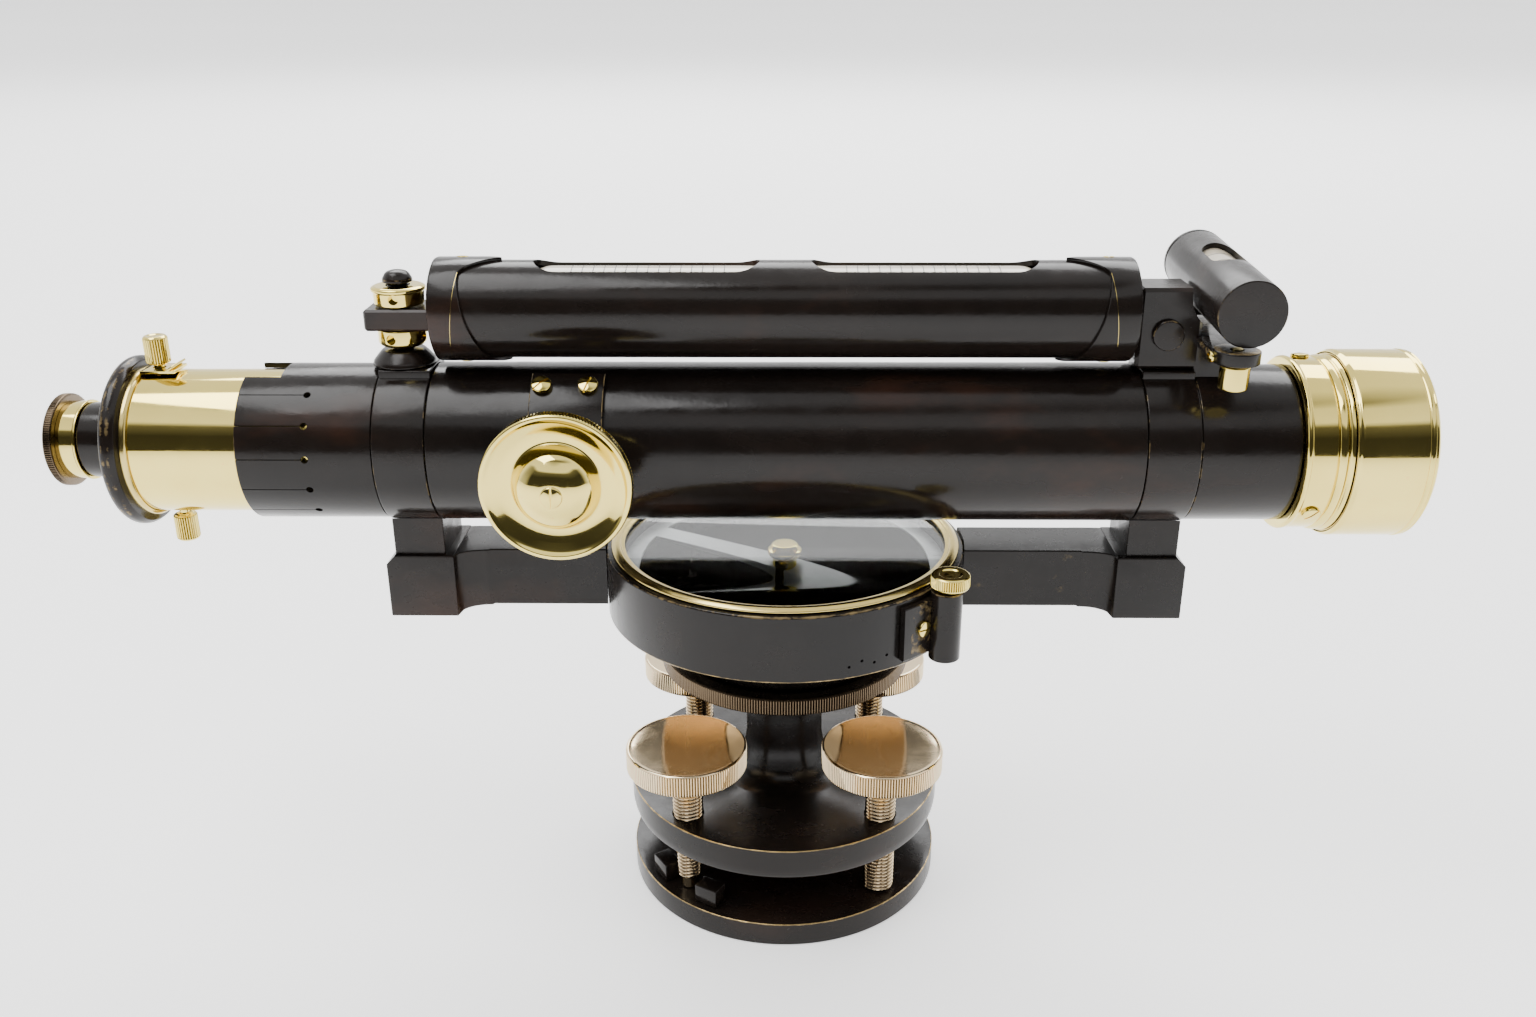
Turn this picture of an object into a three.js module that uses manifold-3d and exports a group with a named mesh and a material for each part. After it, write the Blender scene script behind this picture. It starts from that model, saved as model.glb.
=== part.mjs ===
// A surveyor's dumpy level: telescope with main and cross spirit levels on a limb,
// a compass box on the vertical axis, and a four-screw levelling head.
// Millimetres, +Z up, telescope along X with the objective at +X.
// The model's origin is under the middle of the instrument, on the surface it stands on.
import * as THREE from 'three';
import { mergeVertices } from 'three/addons/utils/BufferGeometryUtils.js';
import Module from 'manifold-3d';

const wasm = await Module(); wasm.setup();

// ---------------------------------------------------------------- driving dimensions
// Heights are measured from the telescope's axis, and x from the vertical axis.
const AXIS_HEIGHT = 138.3;          // telescope axis above the base
const AXIS_X = 16.4;                // vertical axis from the middle of the overall length
const GAP = 0.3;                    // clearance between neighbouring pieces

const TUBE_R = 22.4;                // telescope's main tube
const TUBE_BORE_R = 20.9;
const SLEEVE_R = 22.0;              // sleeve that the draw tube slides in
const DRAW_R = 20.27;
const DRAW_BORE_R = 19.3;
const POST_X = 104.5;               // limb posts, left and right of the vertical axis
const COLLAR_HALF = 7.1;
const EYE_END_X = -206.2;
const SLEEVE_END_X = -148.9;
const FLANGE_X = [-185.6, -179.6];
const DRAW_INNER_END_X = -30;
const RETICLE_X = -175.5;
const OBJECTIVE_TUBE_END_X = 138.6;
const RING_END_X = 151.5;           // brass ring behind the ray shade
const SHADE_R = 26.4;
const SHADE_END_X = 173.4;

const PINION_X = -59.3;
const TOOTH_MODULE = 0.6;
const PINION_TEETH = 12;
const FOCUS_TRAVEL = [-20, 16];     // draw tube out and in, from where it stands
const KNOB_R = 20;
const KNOB_BACK_Y = -35.5;

const LEVEL_Z = 38.1;               // main level's axis
const LEVEL_R = 13.3;
const LEVEL_SLEEVE_R = 14.2;
const LEVEL_END = { left: 95.5, right: 94.3 };
const LEVEL_PIN = { x: 103.3, z: 32.7 };
const LEVEL_STUD_X = -106.1;
const LUG_Z = [33.3, 39.2];

const CROSS = { x: 119.2, z: 44.1, r: 9, y: [-25, 29], tilt: THREE.MathUtils.degToRad(4.1) };
const CROSS_BEAM = { x: [112.9, 122.3], y: [-23, 24], z: [29.6, 32] };
const CROSS_SCREW = { x: 117.3, y: -22 };

const BOX_R = 52;                   // compass box
const BOX_TOP = -30.5;
const BOX_BOTTOM = -49.9;
const BOX_WALL_R = 47.5;
const BOX_FLOOR = -45.5;
const NECK_R = 33;
const RING_Z = [-68.5, -63.3];      // milled ring under the neck
const RING_R = 37;
const LIFTER_ANGLE = THREE.MathUtils.degToRad(-39.2);
const LIFTER_RADIUS = 57;

const PLATE_R = 47.6;               // upper parallel plate
const PLATE_Z = [-116, -105.8];
const FOOT_R = 47.4;                // lower parallel plate
const FOOT_TOP = -131.1;
const SCREW_OFFSET = 28.2;          // levelling screws, from the vertical axis along x and y
const SCREW_R = 4.5;
const BALL_Z = -126;
const BALL_R = 11;
const CUP_R = [11.35, 14];

// Facets round a circle, for wide, middling and small pieces.
const LARGE = 30;
const MEDIUM = 20;
const SMALL = 12;

// ---------------------------------------------------------------- materials
function finish(color, roughness, metalness) {
  return new THREE.MeshStandardMaterial({ color, roughness, metalness });
}
const LACQUER = finish(0x2c2422, 0.28, 0.35);
const BRASS = finish(0xc9a94f, 0.2, 1);
const PINK_BRASS = finish(0xc8a27c, 0.25, 1);
const SILVERED = finish(0xb9bab6, 0.4, 0.8);
const STEEL = finish(0x6f6f72, 0.35, 1);
const GLASS = finish(0xdfe8e6, 0.05, 0);
const VIAL = finish(0xe9dfb4, 0.1, 0);

// ---------------------------------------------------------------- solids
function toSolid(geometry) {
  const bare = geometry.clone();
  bare.deleteAttribute('normal');
  bare.deleteAttribute('uv');
  const merged = mergeVertices(bare, 1e-4);
  const corner = merged.index.array;
  const triVerts = [];
  for (let i = 0; i < corner.length; i += 3) {
    const [a, b, c] = corner.slice(i, i + 3);
    if (a !== b && b !== c && c !== a) triVerts.push(a, b, c);
  }
  return new wasm.Manifold(new wasm.Mesh({
    numProp: 3,
    vertProperties: new Float32Array(merged.attributes.position.array),
    triVerts: new Uint32Array(triVerts),
  }));
}

function toGeometry(solid) {
  const mesh = solid.getMesh();
  const geometry = new THREE.BufferGeometry();
  geometry.setAttribute('position', new THREE.BufferAttribute(mesh.vertProperties, 3));
  geometry.setIndex(new THREE.BufferAttribute(mesh.triVerts, 1));
  geometry.computeVertexNormals();
  return geometry;
}

function join(first, ...others) {
  return others.reduce((solid, other) => solid.add(other), first);
}

function cut(solid, ...tools) {
  return tools.reduce((rest, tool) => rest.subtract(tool), solid);
}

// Turns a geometry made along +Y so that it lies along the named axis.
function along(geometry, axis) {
  if (axis === 'x') geometry.rotateZ(-Math.PI / 2);
  if (axis === 'z') geometry.rotateX(Math.PI / 2);
  return geometry;
}

// A turned piece. The profile lists [radius, distance along the axis], and a profile that
// doesn't begin on the axis is a ring that closes on itself.
function turned(axis, profile, segments = MEDIUM) {
  const points = profile.map(([radius, distance]) => new THREE.Vector2(radius, distance));
  if (THREE.ShapeUtils.isClockWise(points)) points.reverse();
  if (points[0].x > 0) points.push(points[0].clone());
  return toSolid(along(new THREE.LatheGeometry(points, segments), axis));
}

function tube(axis, outer, inner, [from, to], segments = MEDIUM) {
  return turned(axis, [[inner, from], [outer, from], [outer, to], [inner, to]], segments);
}

function rod(axis, radius, [from, to], segments = MEDIUM) {
  return turned(axis, [[0, from], [radius, from], [radius, to], [0, to]], segments);
}

// The same rod beside the axis it is named after, moved by an offset.
function rodAt(axis, radius, span, offset, segments = SMALL) {
  const [from, to] = span;
  const geometry = along(new THREE.CylinderGeometry(radius, radius, to - from, segments), axis);
  const middle = (from + to) / 2;
  const shift = { x: [middle, 0, 0], y: [0, middle, 0], z: [0, 0, middle] }[axis];
  geometry.translate(shift[0] + offset[0], shift[1] + offset[1], shift[2] + offset[2]);
  return toSolid(geometry);
}

function block([x0, x1], [y0, y1], [z0, z1]) {
  const geometry = new THREE.BoxGeometry(x1 - x0, y1 - y0, z1 - z0);
  geometry.translate((x0 + x1) / 2, (y0 + y1) / 2, (z0 + z1) / 2);
  return toSolid(geometry);
}

// A flat outline in x and z, extruded along y.
function slab(outline, [y0, y1]) {
  const shape = new THREE.Shape(outline.map(([x, z]) => new THREE.Vector2(x, z)));
  const geometry = new THREE.ExtrudeGeometry(shape, { depth: y1 - y0, bevelEnabled: false });
  geometry.rotateX(Math.PI / 2);
  geometry.translate(0, y1, 0);
  return toSolid(geometry);
}

function arc(radius, fromDeg, toDeg, steps, [cx, cy] = [0, 0]) {
  const points = [];
  for (let i = 0; i <= steps; i += 1) {
    const angle = THREE.MathUtils.degToRad(fromDeg + ((toDeg - fromDeg) * i) / steps);
    points.push([cx + radius * Math.cos(angle), cy + radius * Math.sin(angle)]);
  }
  return points;
}

const group = new THREE.Group();
const instrument = new THREE.Group();
instrument.position.set(AXIS_X, 0, AXIS_HEIGHT);
group.add(instrument);

function piece(name, solid, material, position = [0, 0, 0], parent = instrument) {
  const mesh = new THREE.Mesh(toGeometry(solid), material);
  mesh.name = name;
  mesh.position.set(...position);
  parent.add(mesh);
  return mesh;
}

// ---------------------------------------------------------------- levelling head
const SCREW_PLACES = {
  front_left: [-SCREW_OFFSET, -SCREW_OFFSET],
  front_right: [SCREW_OFFSET, -SCREW_OFFSET],
  back_left: [-SCREW_OFFSET, SCREW_OFFSET],
  back_right: [SCREW_OFFSET, SCREW_OFFSET],
};

function lowerPlate() {
  const bottom = -AXIS_HEIGHT;
  const bore = CUP_R[1] + 0.4;
  const socketR = 20;
  const socketTop = -131.6;
  const bossTop = -121;
  return turned('z', [
    [socketR, bottom], [FOOT_R - 0.4, bottom], [FOOT_R, bottom + 0.4],
    [FOOT_R, FOOT_TOP - 0.8], [FOOT_R - 0.8, FOOT_TOP], [24, FOOT_TOP], [19, bossTop],
    [bore, bossTop], [bore, socketTop], [socketR, socketTop],
  ], LARGE);
}

// Small blocks on the lower plate, either side of the front left screw's tip.
function stopLugs() {
  const lug = block([-2.6, 2.6], [-3.65, 3.65], [0, 5.6]);
  const radius = 42.3;
  const places = { stop_lug_left: 213.5, stop_lug_right: 239.1 };
  for (const [name, degrees] of Object.entries(places)) {
    const angle = THREE.MathUtils.degToRad(degrees);
    const place = [radius * Math.cos(angle), radius * Math.sin(angle), FOOT_TOP + GAP];
    piece(name, lug, LACQUER, place).rotation.z = angle;
  }
}

// A spherical zone between two radii: the loose cup round the ball.
function ballCup() {
  const half = 5.6;
  const limit = (radius) => THREE.MathUtils.radToDeg(Math.asin(half / radius));
  const outer = arc(CUP_R[1], -limit(CUP_R[1]), limit(CUP_R[1]), 4);
  const inner = arc(CUP_R[0], limit(CUP_R[0]), -limit(CUP_R[0]), 4);
  return turned('z', [...outer, ...inner], MEDIUM);
}

function ballEnd() {
  const stemR = 7;
  const bottomDeg = -30;
  const topDeg = THREE.MathUtils.radToDeg(Math.acos(stemR / BALL_R));
  const ball = arc(BALL_R, bottomDeg, topDeg, 5);
  const stemTop = -107.2 - BALL_Z;
  return turned('z', [[0, ball[0][1]], ...ball, [stemR, stemTop], [0, stemTop]], MEDIUM);
}

function upperPlate() {
  const [bottom, top] = PLATE_Z;
  const stemBore = 7.3;
  const body = turned('z', [
    [stemBore, bottom], [PLATE_R - 2, bottom], [PLATE_R - 0.3, bottom + 1], [PLATE_R, bottom + 3],
    [PLATE_R, top - 0.7], [PLATE_R - 0.7, top], [19, top], [14, -102.4],
    [11.6, -96], [11.6, -80], [14.5, -71], [14.5, -69],
    [9.2, -69], [stemBore, -107],
  ], LARGE);
  const holes = Object.values(SCREW_PLACES).map(
    ([x, y]) => rodAt('z', SCREW_R + GAP, [bottom - 1, top + 1], [x, y, 0], SMALL),
  );
  return cut(body, ...holes);
}

// The front left screw is turned down below the upper plate, to pass between the stop lugs.
function levellingScrew(name) {
  const headR = 17.4;
  const headTop = -82.8;
  const headBottom = -89.6;
  const tip = FOOT_TOP + GAP;
  const stem = name === 'front_left'
    ? [[2.6, tip], [2.6, tip + 3.6], [3.5, tip + 4.4], [3.5, -118.4], [SCREW_R, -117.6]]
    : [[3.6, tip], [SCREW_R, tip + 1]];
  return turned('z', [
    [0, tip], ...stem, [SCREW_R, headBottom],
    [headR - 0.8, headBottom], [headR, headBottom + 0.8],
    [headR, headTop - 0.6], [headR - 0.8, headTop], [headR - 2, headTop], [0, headTop - 1.6],
  ], MEDIUM);
}

piece('lower_plate', lowerPlate(), LACQUER);
stopLugs();
piece('ball_cup', ballCup(), BRASS, [0, 0, BALL_Z]);
piece('upper_plate', upperPlate(), LACQUER);
piece('ball_end', ballEnd(), STEEL, [0, 0, BALL_Z]);
for (const [name, [x, y]] of Object.entries(SCREW_PLACES)) {
  piece(`levelling_screw_${name}`, levellingScrew(name), PINK_BRASS, [x, y, 0]);
}

// ---------------------------------------------------------------- vertical axis and compass
function axisCone() {
  const flangeR = 19.7;
  return turned('z', [
    [0, -106.5], [6.9, -106.5], [8.85, RING_Z[0]], [flangeR, RING_Z[0]],
    [flangeR, RING_Z[1]], [0, RING_Z[1]],
  ]);
}

function compassBox() {
  const neckBottom = RING_Z[1] + GAP;
  return turned('z', [
    [0, neckBottom], [NECK_R - 1, neckBottom], [NECK_R, neckBottom + 5], [NECK_R + 2, BOX_BOTTOM],
    [BOX_R - 0.5, BOX_BOTTOM], [BOX_R, BOX_BOTTOM + 0.5], [BOX_R, BOX_TOP],
    [BOX_WALL_R, BOX_TOP], [BOX_WALL_R, BOX_FLOOR], [0, BOX_FLOOR],
  ], LARGE);
}

function compassBezel() {
  const bottom = BOX_TOP + GAP;
  return turned('z', [
    [46.6, bottom], [50.5, bottom], [50.5, bottom + 0.7], [49.4, bottom + 1.3],
    [47.8, bottom + 1.3], [46.6, bottom + 0.6],
  ], LARGE);
}

// Floating ring card: a silvered ring and bar on a turned cap with a jewelled socket.
function compassCard() {
  const thickness = [-37.8, -37];
  const ring = tube('z', 45.8, 41, thickness, LARGE);
  const middle = rod('z', 3.2, [-40, -30], SMALL);
  const bar = cut(block([-41.6, 41.6], [-3.25, 3.25], thickness), middle);
  const cap = turned('z', [
    [0, -36.6], [1.4, -36.9], [1.8, -39], [3.6, -39], [3.6, -36.6], [5, -36],
    [5, -34.2], [3, -32.8], [0, -32.6],
  ], SMALL);
  return join(ring, bar, cap);
}

function compassPivot() {
  return turned('z', [
    [0, -45.2], [2.6, -45.2], [2.6, -43], [1, -42], [0.6, -38], [0, -37.2],
  ], SMALL);
}

function needleLifter() {
  const thickness = [-41.5, -40.5];
  const ring = tube('z', 7, 3.1, thickness, MEDIUM);
  const arm = block([6.4, 46.6], [-2, 2], thickness);
  return join(ring, arm);
}

const LIFTER_PLACE = [
  LIFTER_RADIUS * Math.cos(LIFTER_ANGLE),
  LIFTER_RADIUS * Math.sin(LIFTER_ANGLE),
];

function lifterKnob() {
  return turned('z', [
    [0, -46.5], [1.5, -46.5], [1.5, -29.6], [3.6, -29.6], [3.6, -29], [5.3, -28.7],
    [5.3, -25.4], [4.8, -25], [3, -25.3], [0, -25.5],
  ], SMALL);
}

// Half-round tube for the knob's stem, with a plate that wraps the box's wall.
function lifterBracket() {
  const [x, y] = LIFTER_PLACE;
  const stemTube = rodAt('z', 4.3, [BOX_BOTTOM, -29.9], [x - 0.7, y, 0], SMALL);
  const wrap = [...arc(BOX_R + 2, -54, -36, 6), ...arc(BOX_R - 2, -36, -54, 6)];
  const outline = new THREE.Shape(wrap.map(([px, py]) => new THREE.Vector2(px, py)));
  const plate = new THREE.ExtrudeGeometry(outline, { depth: 15.4, bevelEnabled: false });
  plate.translate(0, 0, -47.6);
  const box = rod('z', BOX_R + GAP, [BOX_BOTTOM - 5, BOX_TOP + 5], LARGE);
  const bore = rodAt('z', 1.8, [-47, -20], [x, y, 0], SMALL);
  return cut(join(stemTube, toSolid(plate)), box, bore);
}

piece('axis_cone', axisCone(), STEEL);
piece('milled_ring', tube('z', RING_R, 20, RING_Z, LARGE), LACQUER);
piece('compass_box', compassBox(), LACQUER);
piece('compass_bezel', compassBezel(), BRASS);
piece('compass_glass', rod('z', BOX_WALL_R - GAP, [-32.2, -30.8], LARGE), GLASS);
piece('compass_card', compassCard(), SILVERED).rotation.z = THREE.MathUtils.degToRad(-26);
piece('compass_pivot', compassPivot(), STEEL);
piece('needle_lifter', needleLifter(), BRASS).rotation.z = LIFTER_ANGLE;
piece('lifter_knob', lifterKnob(), BRASS, [...LIFTER_PLACE, 0]);
piece('lifter_bracket', lifterBracket(), LACQUER);

// ---------------------------------------------------------------- limb
// One arm of the limb, made for +X: a bar from the compass box to a foot block and a post.
function limbArm(side) {
  const barY = 9;
  const footHalf = 9.8;
  const postHalf = 7.2;
  const x = side * POST_X;
  const span = (a, b) => [Math.min(side * a, side * b), Math.max(side * a, side * b)];
  const bar = block(span(45, POST_X), [-barY, barY], [-47.4, -30]);
  const foot = block([x - footHalf, x + footHalf], [-12, 12], [-50, -31]);
  const post = block([x - postHalf, x + postHalf], [-10.5, 10.5], [-40, -18]);
  const box = rod('z', BOX_R + GAP, [-60, -20], LARGE);
  const collar = rod('x', TUBE_R + GAP, [x - 12, x + 12], MEDIUM);
  return cut(join(bar, foot, post), box, collar);
}

piece('limb_arm_left', limbArm(-1), LACQUER);
piece('limb_arm_right', limbArm(1), LACQUER);

// ---------------------------------------------------------------- telescope
// A collar over a limb post, with a flat pad on top for the level's fittings.
function collar() {
  const reach = [-COLLAR_HALF, COLLAR_HALF];
  const pad = block(reach, [-8.5, 8.5], [18, 22.7]);
  const band = rod('x', TUBE_R, reach);
  return cut(join(band, pad), rod('x', TUBE_BORE_R, [-10, 10], MEDIUM));
}

function eyeSleeve() {
  const body = tube('x', SLEEVE_R, 20.6, [SLEEVE_END_X, -POST_X - COLLAR_HALF - GAP]);
  const notch = block([SLEEVE_END_X - 1, SLEEVE_END_X + 10], [-7.5, 7.5], [10, 30]);
  return cut(body, notch);
}

function mainTube() {
  const reach = POST_X - COLLAR_HALF - GAP;
  const spindleHole = rodAt('y', 2.6, [-30, -10], [PINION_X, 0, 0], SMALL);
  return cut(tube('x', TUBE_R, TUBE_BORE_R, [-reach, reach]), spindleHole);
}

function objectiveRing() {
  const start = OBJECTIVE_TUBE_END_X + GAP;
  return turned('x', [
    [21.2, start], [24.3, start], [24.3, start + 8.6], [25, RING_END_X], [21.2, RING_END_X],
  ]);
}

function objectiveCell() {
  const spigotStart = 140;
  const shoulder = RING_END_X + GAP;
  const seat = 154;
  const front = 170;
  return turned('x', [
    [18.2, spigotStart], [TUBE_BORE_R - GAP, spigotStart], [TUBE_BORE_R - GAP, shoulder],
    [25.2, shoulder], [25.2, front], [22.5, front], [19.8, 162], [19.8, seat], [18.2, seat],
  ]);
}

function objectiveLens() {
  return turned('x', [
    [0, 153.4], [12, 154], [19.4, 155.2], [19.4, 157.8], [12, 159.8], [0, 160.6],
  ], MEDIUM);
}

function rayShade() {
  const start = RING_END_X + GAP;
  return turned('x', [
    [25.5, start], [SHADE_R, start], [SHADE_R, SHADE_END_X - 0.5], [25.9, SHADE_END_X],
    [24.9, SHADE_END_X], [24.9, SHADE_END_X - 2], [25.5, SHADE_END_X - 2.4],
  ]);
}

piece('collar_left', collar(), LACQUER, [-POST_X, 0, 0]);
piece('collar_right', collar(), LACQUER, [POST_X, 0, 0]);
piece('main_tube', mainTube(), LACQUER);
piece('eye_sleeve', eyeSleeve(), LACQUER);
piece('objective_tube', tube('x', SLEEVE_R, TUBE_BORE_R,
  [POST_X + COLLAR_HALF + GAP, OBJECTIVE_TUBE_END_X]), LACQUER);
piece('objective_ring', objectiveRing(), BRASS);
piece('objective_cell', objectiveCell(), BRASS);
piece('objective_lens', objectiveLens(), GLASS);
piece('ray_shade', rayShade(), BRASS);

// ---------------------------------------------------------------- rack and pinion focusing
const PITCH_R = (TOOTH_MODULE * PINION_TEETH) / 2;
const TOOTH_PITCH = Math.PI * TOOTH_MODULE;

// A curved plate on the tube's near side, with a boss round the pinion's spindle.
function pinionSaddle() {
  const wrap = [...arc(TUBE_R + 1.9, 113, 247, 12), ...arc(TUBE_R - 2, 247, 113, 12)];
  const outline = new THREE.Shape(wrap.map(([y, z]) => new THREE.Vector2(y, z)));
  const plate = new THREE.ExtrudeGeometry(outline, { depth: 20, bevelEnabled: false });
  plate.rotateX(Math.PI / 2);
  plate.rotateZ(Math.PI / 2);
  plate.translate(PINION_X - 9.7, 0, 0);
  const boss = rodAt('y', 7.5, [-34.8, -20], [PINION_X, 0, 0], MEDIUM);
  const bore = rodAt('y', 2.4, [-40, -10], [PINION_X, 0, 0], SMALL);
  const telescope = rod('x', TUBE_R + GAP, [PINION_X - 20, PINION_X + 20], MEDIUM);
  return cut(join(toSolid(plate), boss), telescope, bore);
}

// Screw heads on the saddle, standing along the tube's radius.
function saddleScrews() {
  const screw = turned('y', [[0, 0], [2.6, 0], [2.6, -1], [1.8, -1.6], [0, -1.8]], SMALL);
  const angle = THREE.MathUtils.degToRad(55);
  const radius = TUBE_R + 1.9 + GAP;
  const places = { saddle_screw_left: PINION_X - 6.5, saddle_screw_right: PINION_X + 6.1 };
  for (const [name, x] of Object.entries(places)) {
    const place = [x, -radius * Math.cos(angle), radius * Math.sin(angle)];
    piece(name, screw, BRASS, place).rotation.x = -angle;
  }
}

// Milled rim, concave dish and convex middle.
function focusKnob() {
  const back = KNOB_BACK_Y;
  return turned('y', [
    [0, back], [KNOB_R - 0.6, back], [KNOB_R, back - 0.6], [KNOB_R, back - 3.9],
    [KNOB_R - 0.7, back - 4.5], [KNOB_R - 2, back - 4.1], [14, back - 2.2], [12, back - 2.6],
    [9, back - 7], [5, back - 9.6], [0, back - 10.4],
  ]);
}

// Teeth are cut thin, so that the pinion and rack run with backlash.
function focusPinion() {
  const tip = PITCH_R + 0.75 * TOOTH_MODULE;
  const root = PITCH_R - 1.1 * TOOTH_MODULE;
  const outline = [];
  for (let tooth = 0; tooth < PINION_TEETH; tooth += 1) {
    const middle = -Math.PI / 2 + (tooth * 2 * Math.PI) / PINION_TEETH;
    for (const [radius, half] of [[root, -0.13], [tip, -0.06], [tip, 0.06], [root, 0.13]]) {
      outline.push([radius * Math.cos(middle + half), radius * Math.sin(middle + half)]);
    }
  }
  const gear = slab(outline, [-17.6, -12.6]);
  const spindle = rod('y', 2, [KNOB_BACK_Y + GAP, -13], SMALL);
  return join(gear, spindle);
}

function focusRack() {
  const tip = -PITCH_R + 0.75 * TOOTH_MODULE;
  const root = -PITCH_R - 1.1 * TOOTH_MODULE;
  const back = -6.4;
  const first = Math.ceil((-FOCUS_TRAVEL[1] - 4) / TOOTH_PITCH);
  const last = Math.floor((-FOCUS_TRAVEL[0] + 4) / TOOTH_PITCH);
  const start = (first - 0.5) * TOOTH_PITCH;
  const outline = [[start, back], [(last + 0.5) * TOOTH_PITCH, back]];
  for (let tooth = last; tooth >= first; tooth -= 1) {
    const middle = (tooth + 0.5) * TOOTH_PITCH;
    if (tooth === last) outline.push([middle, root]);
    if (tooth < last) {
      outline.push([middle + 0.46, root], [middle + 0.2, tip], [middle - 0.2, tip],
        [middle - 0.46, root]);
    }
  }
  outline.push([start, root]);
  return slab(outline, [-17.4, -12.8]);
}

function drawTube() {
  const body = tube('x', DRAW_R, DRAW_BORE_R, [FLANGE_X[1] + GAP, DRAW_INNER_END_X]);
  const slotX = [PINION_X - FOCUS_TRAVEL[1] - 3, PINION_X - FOCUS_TRAVEL[0] + 3];
  const slot = block(slotX, [-25, -10], [-2.6, 2.6]);
  const screwHole = rodAt('z', 1.8, [-25, 25], [RETICLE_X, 0, 0], SMALL);
  return cut(body, slot, screwHole);
}

piece('pinion_saddle', pinionSaddle(), LACQUER);
saddleScrews();
piece('focus_knob', focusKnob(), BRASS, [PINION_X, 0, 0]);
piece('focus_pinion', focusPinion(), STEEL, [PINION_X, 0, 0]);
piece('focus_knob_screw', turned('y', [[0, 0], [3, 0], [3, -0.9], [2.2, -1.3], [0, -1.4]], SMALL),
  BRASS, [PINION_X, KNOB_BACK_Y - 10.4 - GAP, 0]);
piece('draw_tube', drawTube(), BRASS);
piece('focus_rack', focusRack(), STEEL, [PINION_X, 0, 0]);

// ---------------------------------------------------------------- eye end
const BARREL_R = 10.7;

function eyeFlange() {
  const [left, right] = FLANGE_X;
  return turned('x', [
    [BARREL_R + GAP, left], [23, left], [24.1, left + 1.2], [24.1, right - 1.2], [23.2, right],
    [BARREL_R + GAP, right],
  ]);
}

function reticleScrew() {
  return turned('z', [
    [0, 14.1], [1.4, 14.1], [1.4, 22.3], [3.3, 22.3], [3.3, 29.8], [2.8, 30.4], [0, 30.6],
  ], SMALL);
}

function reticlePlate() {
  const plate = block([RETICLE_X - 3.8, RETICLE_X + 5.8], [-4.5, 4.5], [20.6, 21.5]);
  return cut(plate, rodAt('z', 1.8, [15, 25], [RETICLE_X, 0, 0], SMALL));
}

function eyepieceCap() {
  const neckR = 11.1;
  const capR = 13.2;
  const capEnd = EYE_END_X + 2.7;
  return turned('x', [
    [4, EYE_END_X], [capR - 0.5, EYE_END_X], [capR, EYE_END_X + 0.5], [capR, capEnd], [neckR, capEnd],
    [neckR, -197.8], [9, -197.8], [9, capEnd - 1], [4, capEnd - 1],
  ], MEDIUM);
}

function eyeLens() {
  return turned('x', [[0, -195], [5, -194.6], [8.3, -193.4], [8.3, -190], [0, -190]], SMALL);
}

piece('eye_flange', eyeFlange(), LACQUER);
piece('reticle_ring', tube('x', 13.8, 11.4, [RETICLE_X - 2, RETICLE_X + 2], MEDIUM), BRASS);
piece('reticle_screw_top', reticleScrew(), BRASS, [RETICLE_X, 0, 0]);
piece('reticle_screw_bottom', reticleScrew(), BRASS, [RETICLE_X, 0, 0]).rotation.x = Math.PI;
piece('reticle_plate_top', reticlePlate(), BRASS);
piece('eyepiece_barrel', tube('x', BARREL_R, 8.7, [-197.5, -174.5], MEDIUM), LACQUER);
piece('eyepiece_cap', eyepieceCap(), LACQUER);
piece('eye_lens', eyeLens(), GLASS);

// ---------------------------------------------------------------- main spirit level
const level = new THREE.Group();
level.position.set(0, 0, LEVEL_Z);
instrument.add(level);

function levelTube() {
  const body = tube('x', LEVEL_R, 11.9, [1.5 - LEVEL_END.left, LEVEL_END.right - 1.5], MEDIUM);
  const windows = [-1, 1].map((side) => {
    const ends = [side * 7, side * 68.4].sort((a, b) => a - b);
    return block(ends, [-6.65, 6.65], [6, 20]);
  });
  return cut(body, ...windows);
}

// A cap over the tube's end, made for +X.
function levelCap(end) {
  const inner = LEVEL_R + GAP;
  const disc = end - 1.2;
  const lip = end - 17;
  return turned('x', [
    [0, disc], [inner, disc], [inner, lip], [LEVEL_SLEEVE_R, lip],
    [LEVEL_SLEEVE_R, end - 0.8], [LEVEL_SLEEVE_R - 0.8, end], [0, end],
  ], MEDIUM);
}

function levelEndLeft() {
  const lug = block([-114.5, -94.8], [-7, 7], LUG_Z.map((z) => z - LEVEL_Z));
  const hole = rodAt('z', 3.6, [-20, 20], [LEVEL_STUD_X, 0, 0], SMALL);
  const cap = levelCap(LEVEL_END.left).mirror([1, 0, 0]);
  return cut(join(cap, lug), hole);
}

function levelEndRight() {
  const tongueZ = [LEVEL_PIN.z - 3.8 - LEVEL_Z, LEVEL_PIN.z + 4 - LEVEL_Z];
  const tongue = block([LEVEL_END.right - 0.6, LEVEL_PIN.x + 2.7], [-3.4, 3.4], tongueZ);
  const hole = rodAt('y', 2.3, [-10, 10], [LEVEL_PIN.x, 0, LEVEL_PIN.z - LEVEL_Z], SMALL);
  return cut(join(levelCap(LEVEL_END.right), tongue), hole);
}

function levelVial() {
  const half = 72;
  return turned('x', [
    [0, -half], [4, -half + 0.5], [8.6, -half + 5], [9.4, -half + 9], [9.4, half - 9],
    [8.6, half - 5], [4, half - 0.5], [0, half],
  ], SMALL);
}

function levelStud() {
  return turned('z', [
    [0, 23], [8.8, 23], [8.5, 24], [6.4, 27], [3, 27.1], [3, 45.7], [4.1, 45.7], [4.1, 47],
    [2.6, 48.6], [0, 49.1],
  ], MEDIUM);
}

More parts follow.
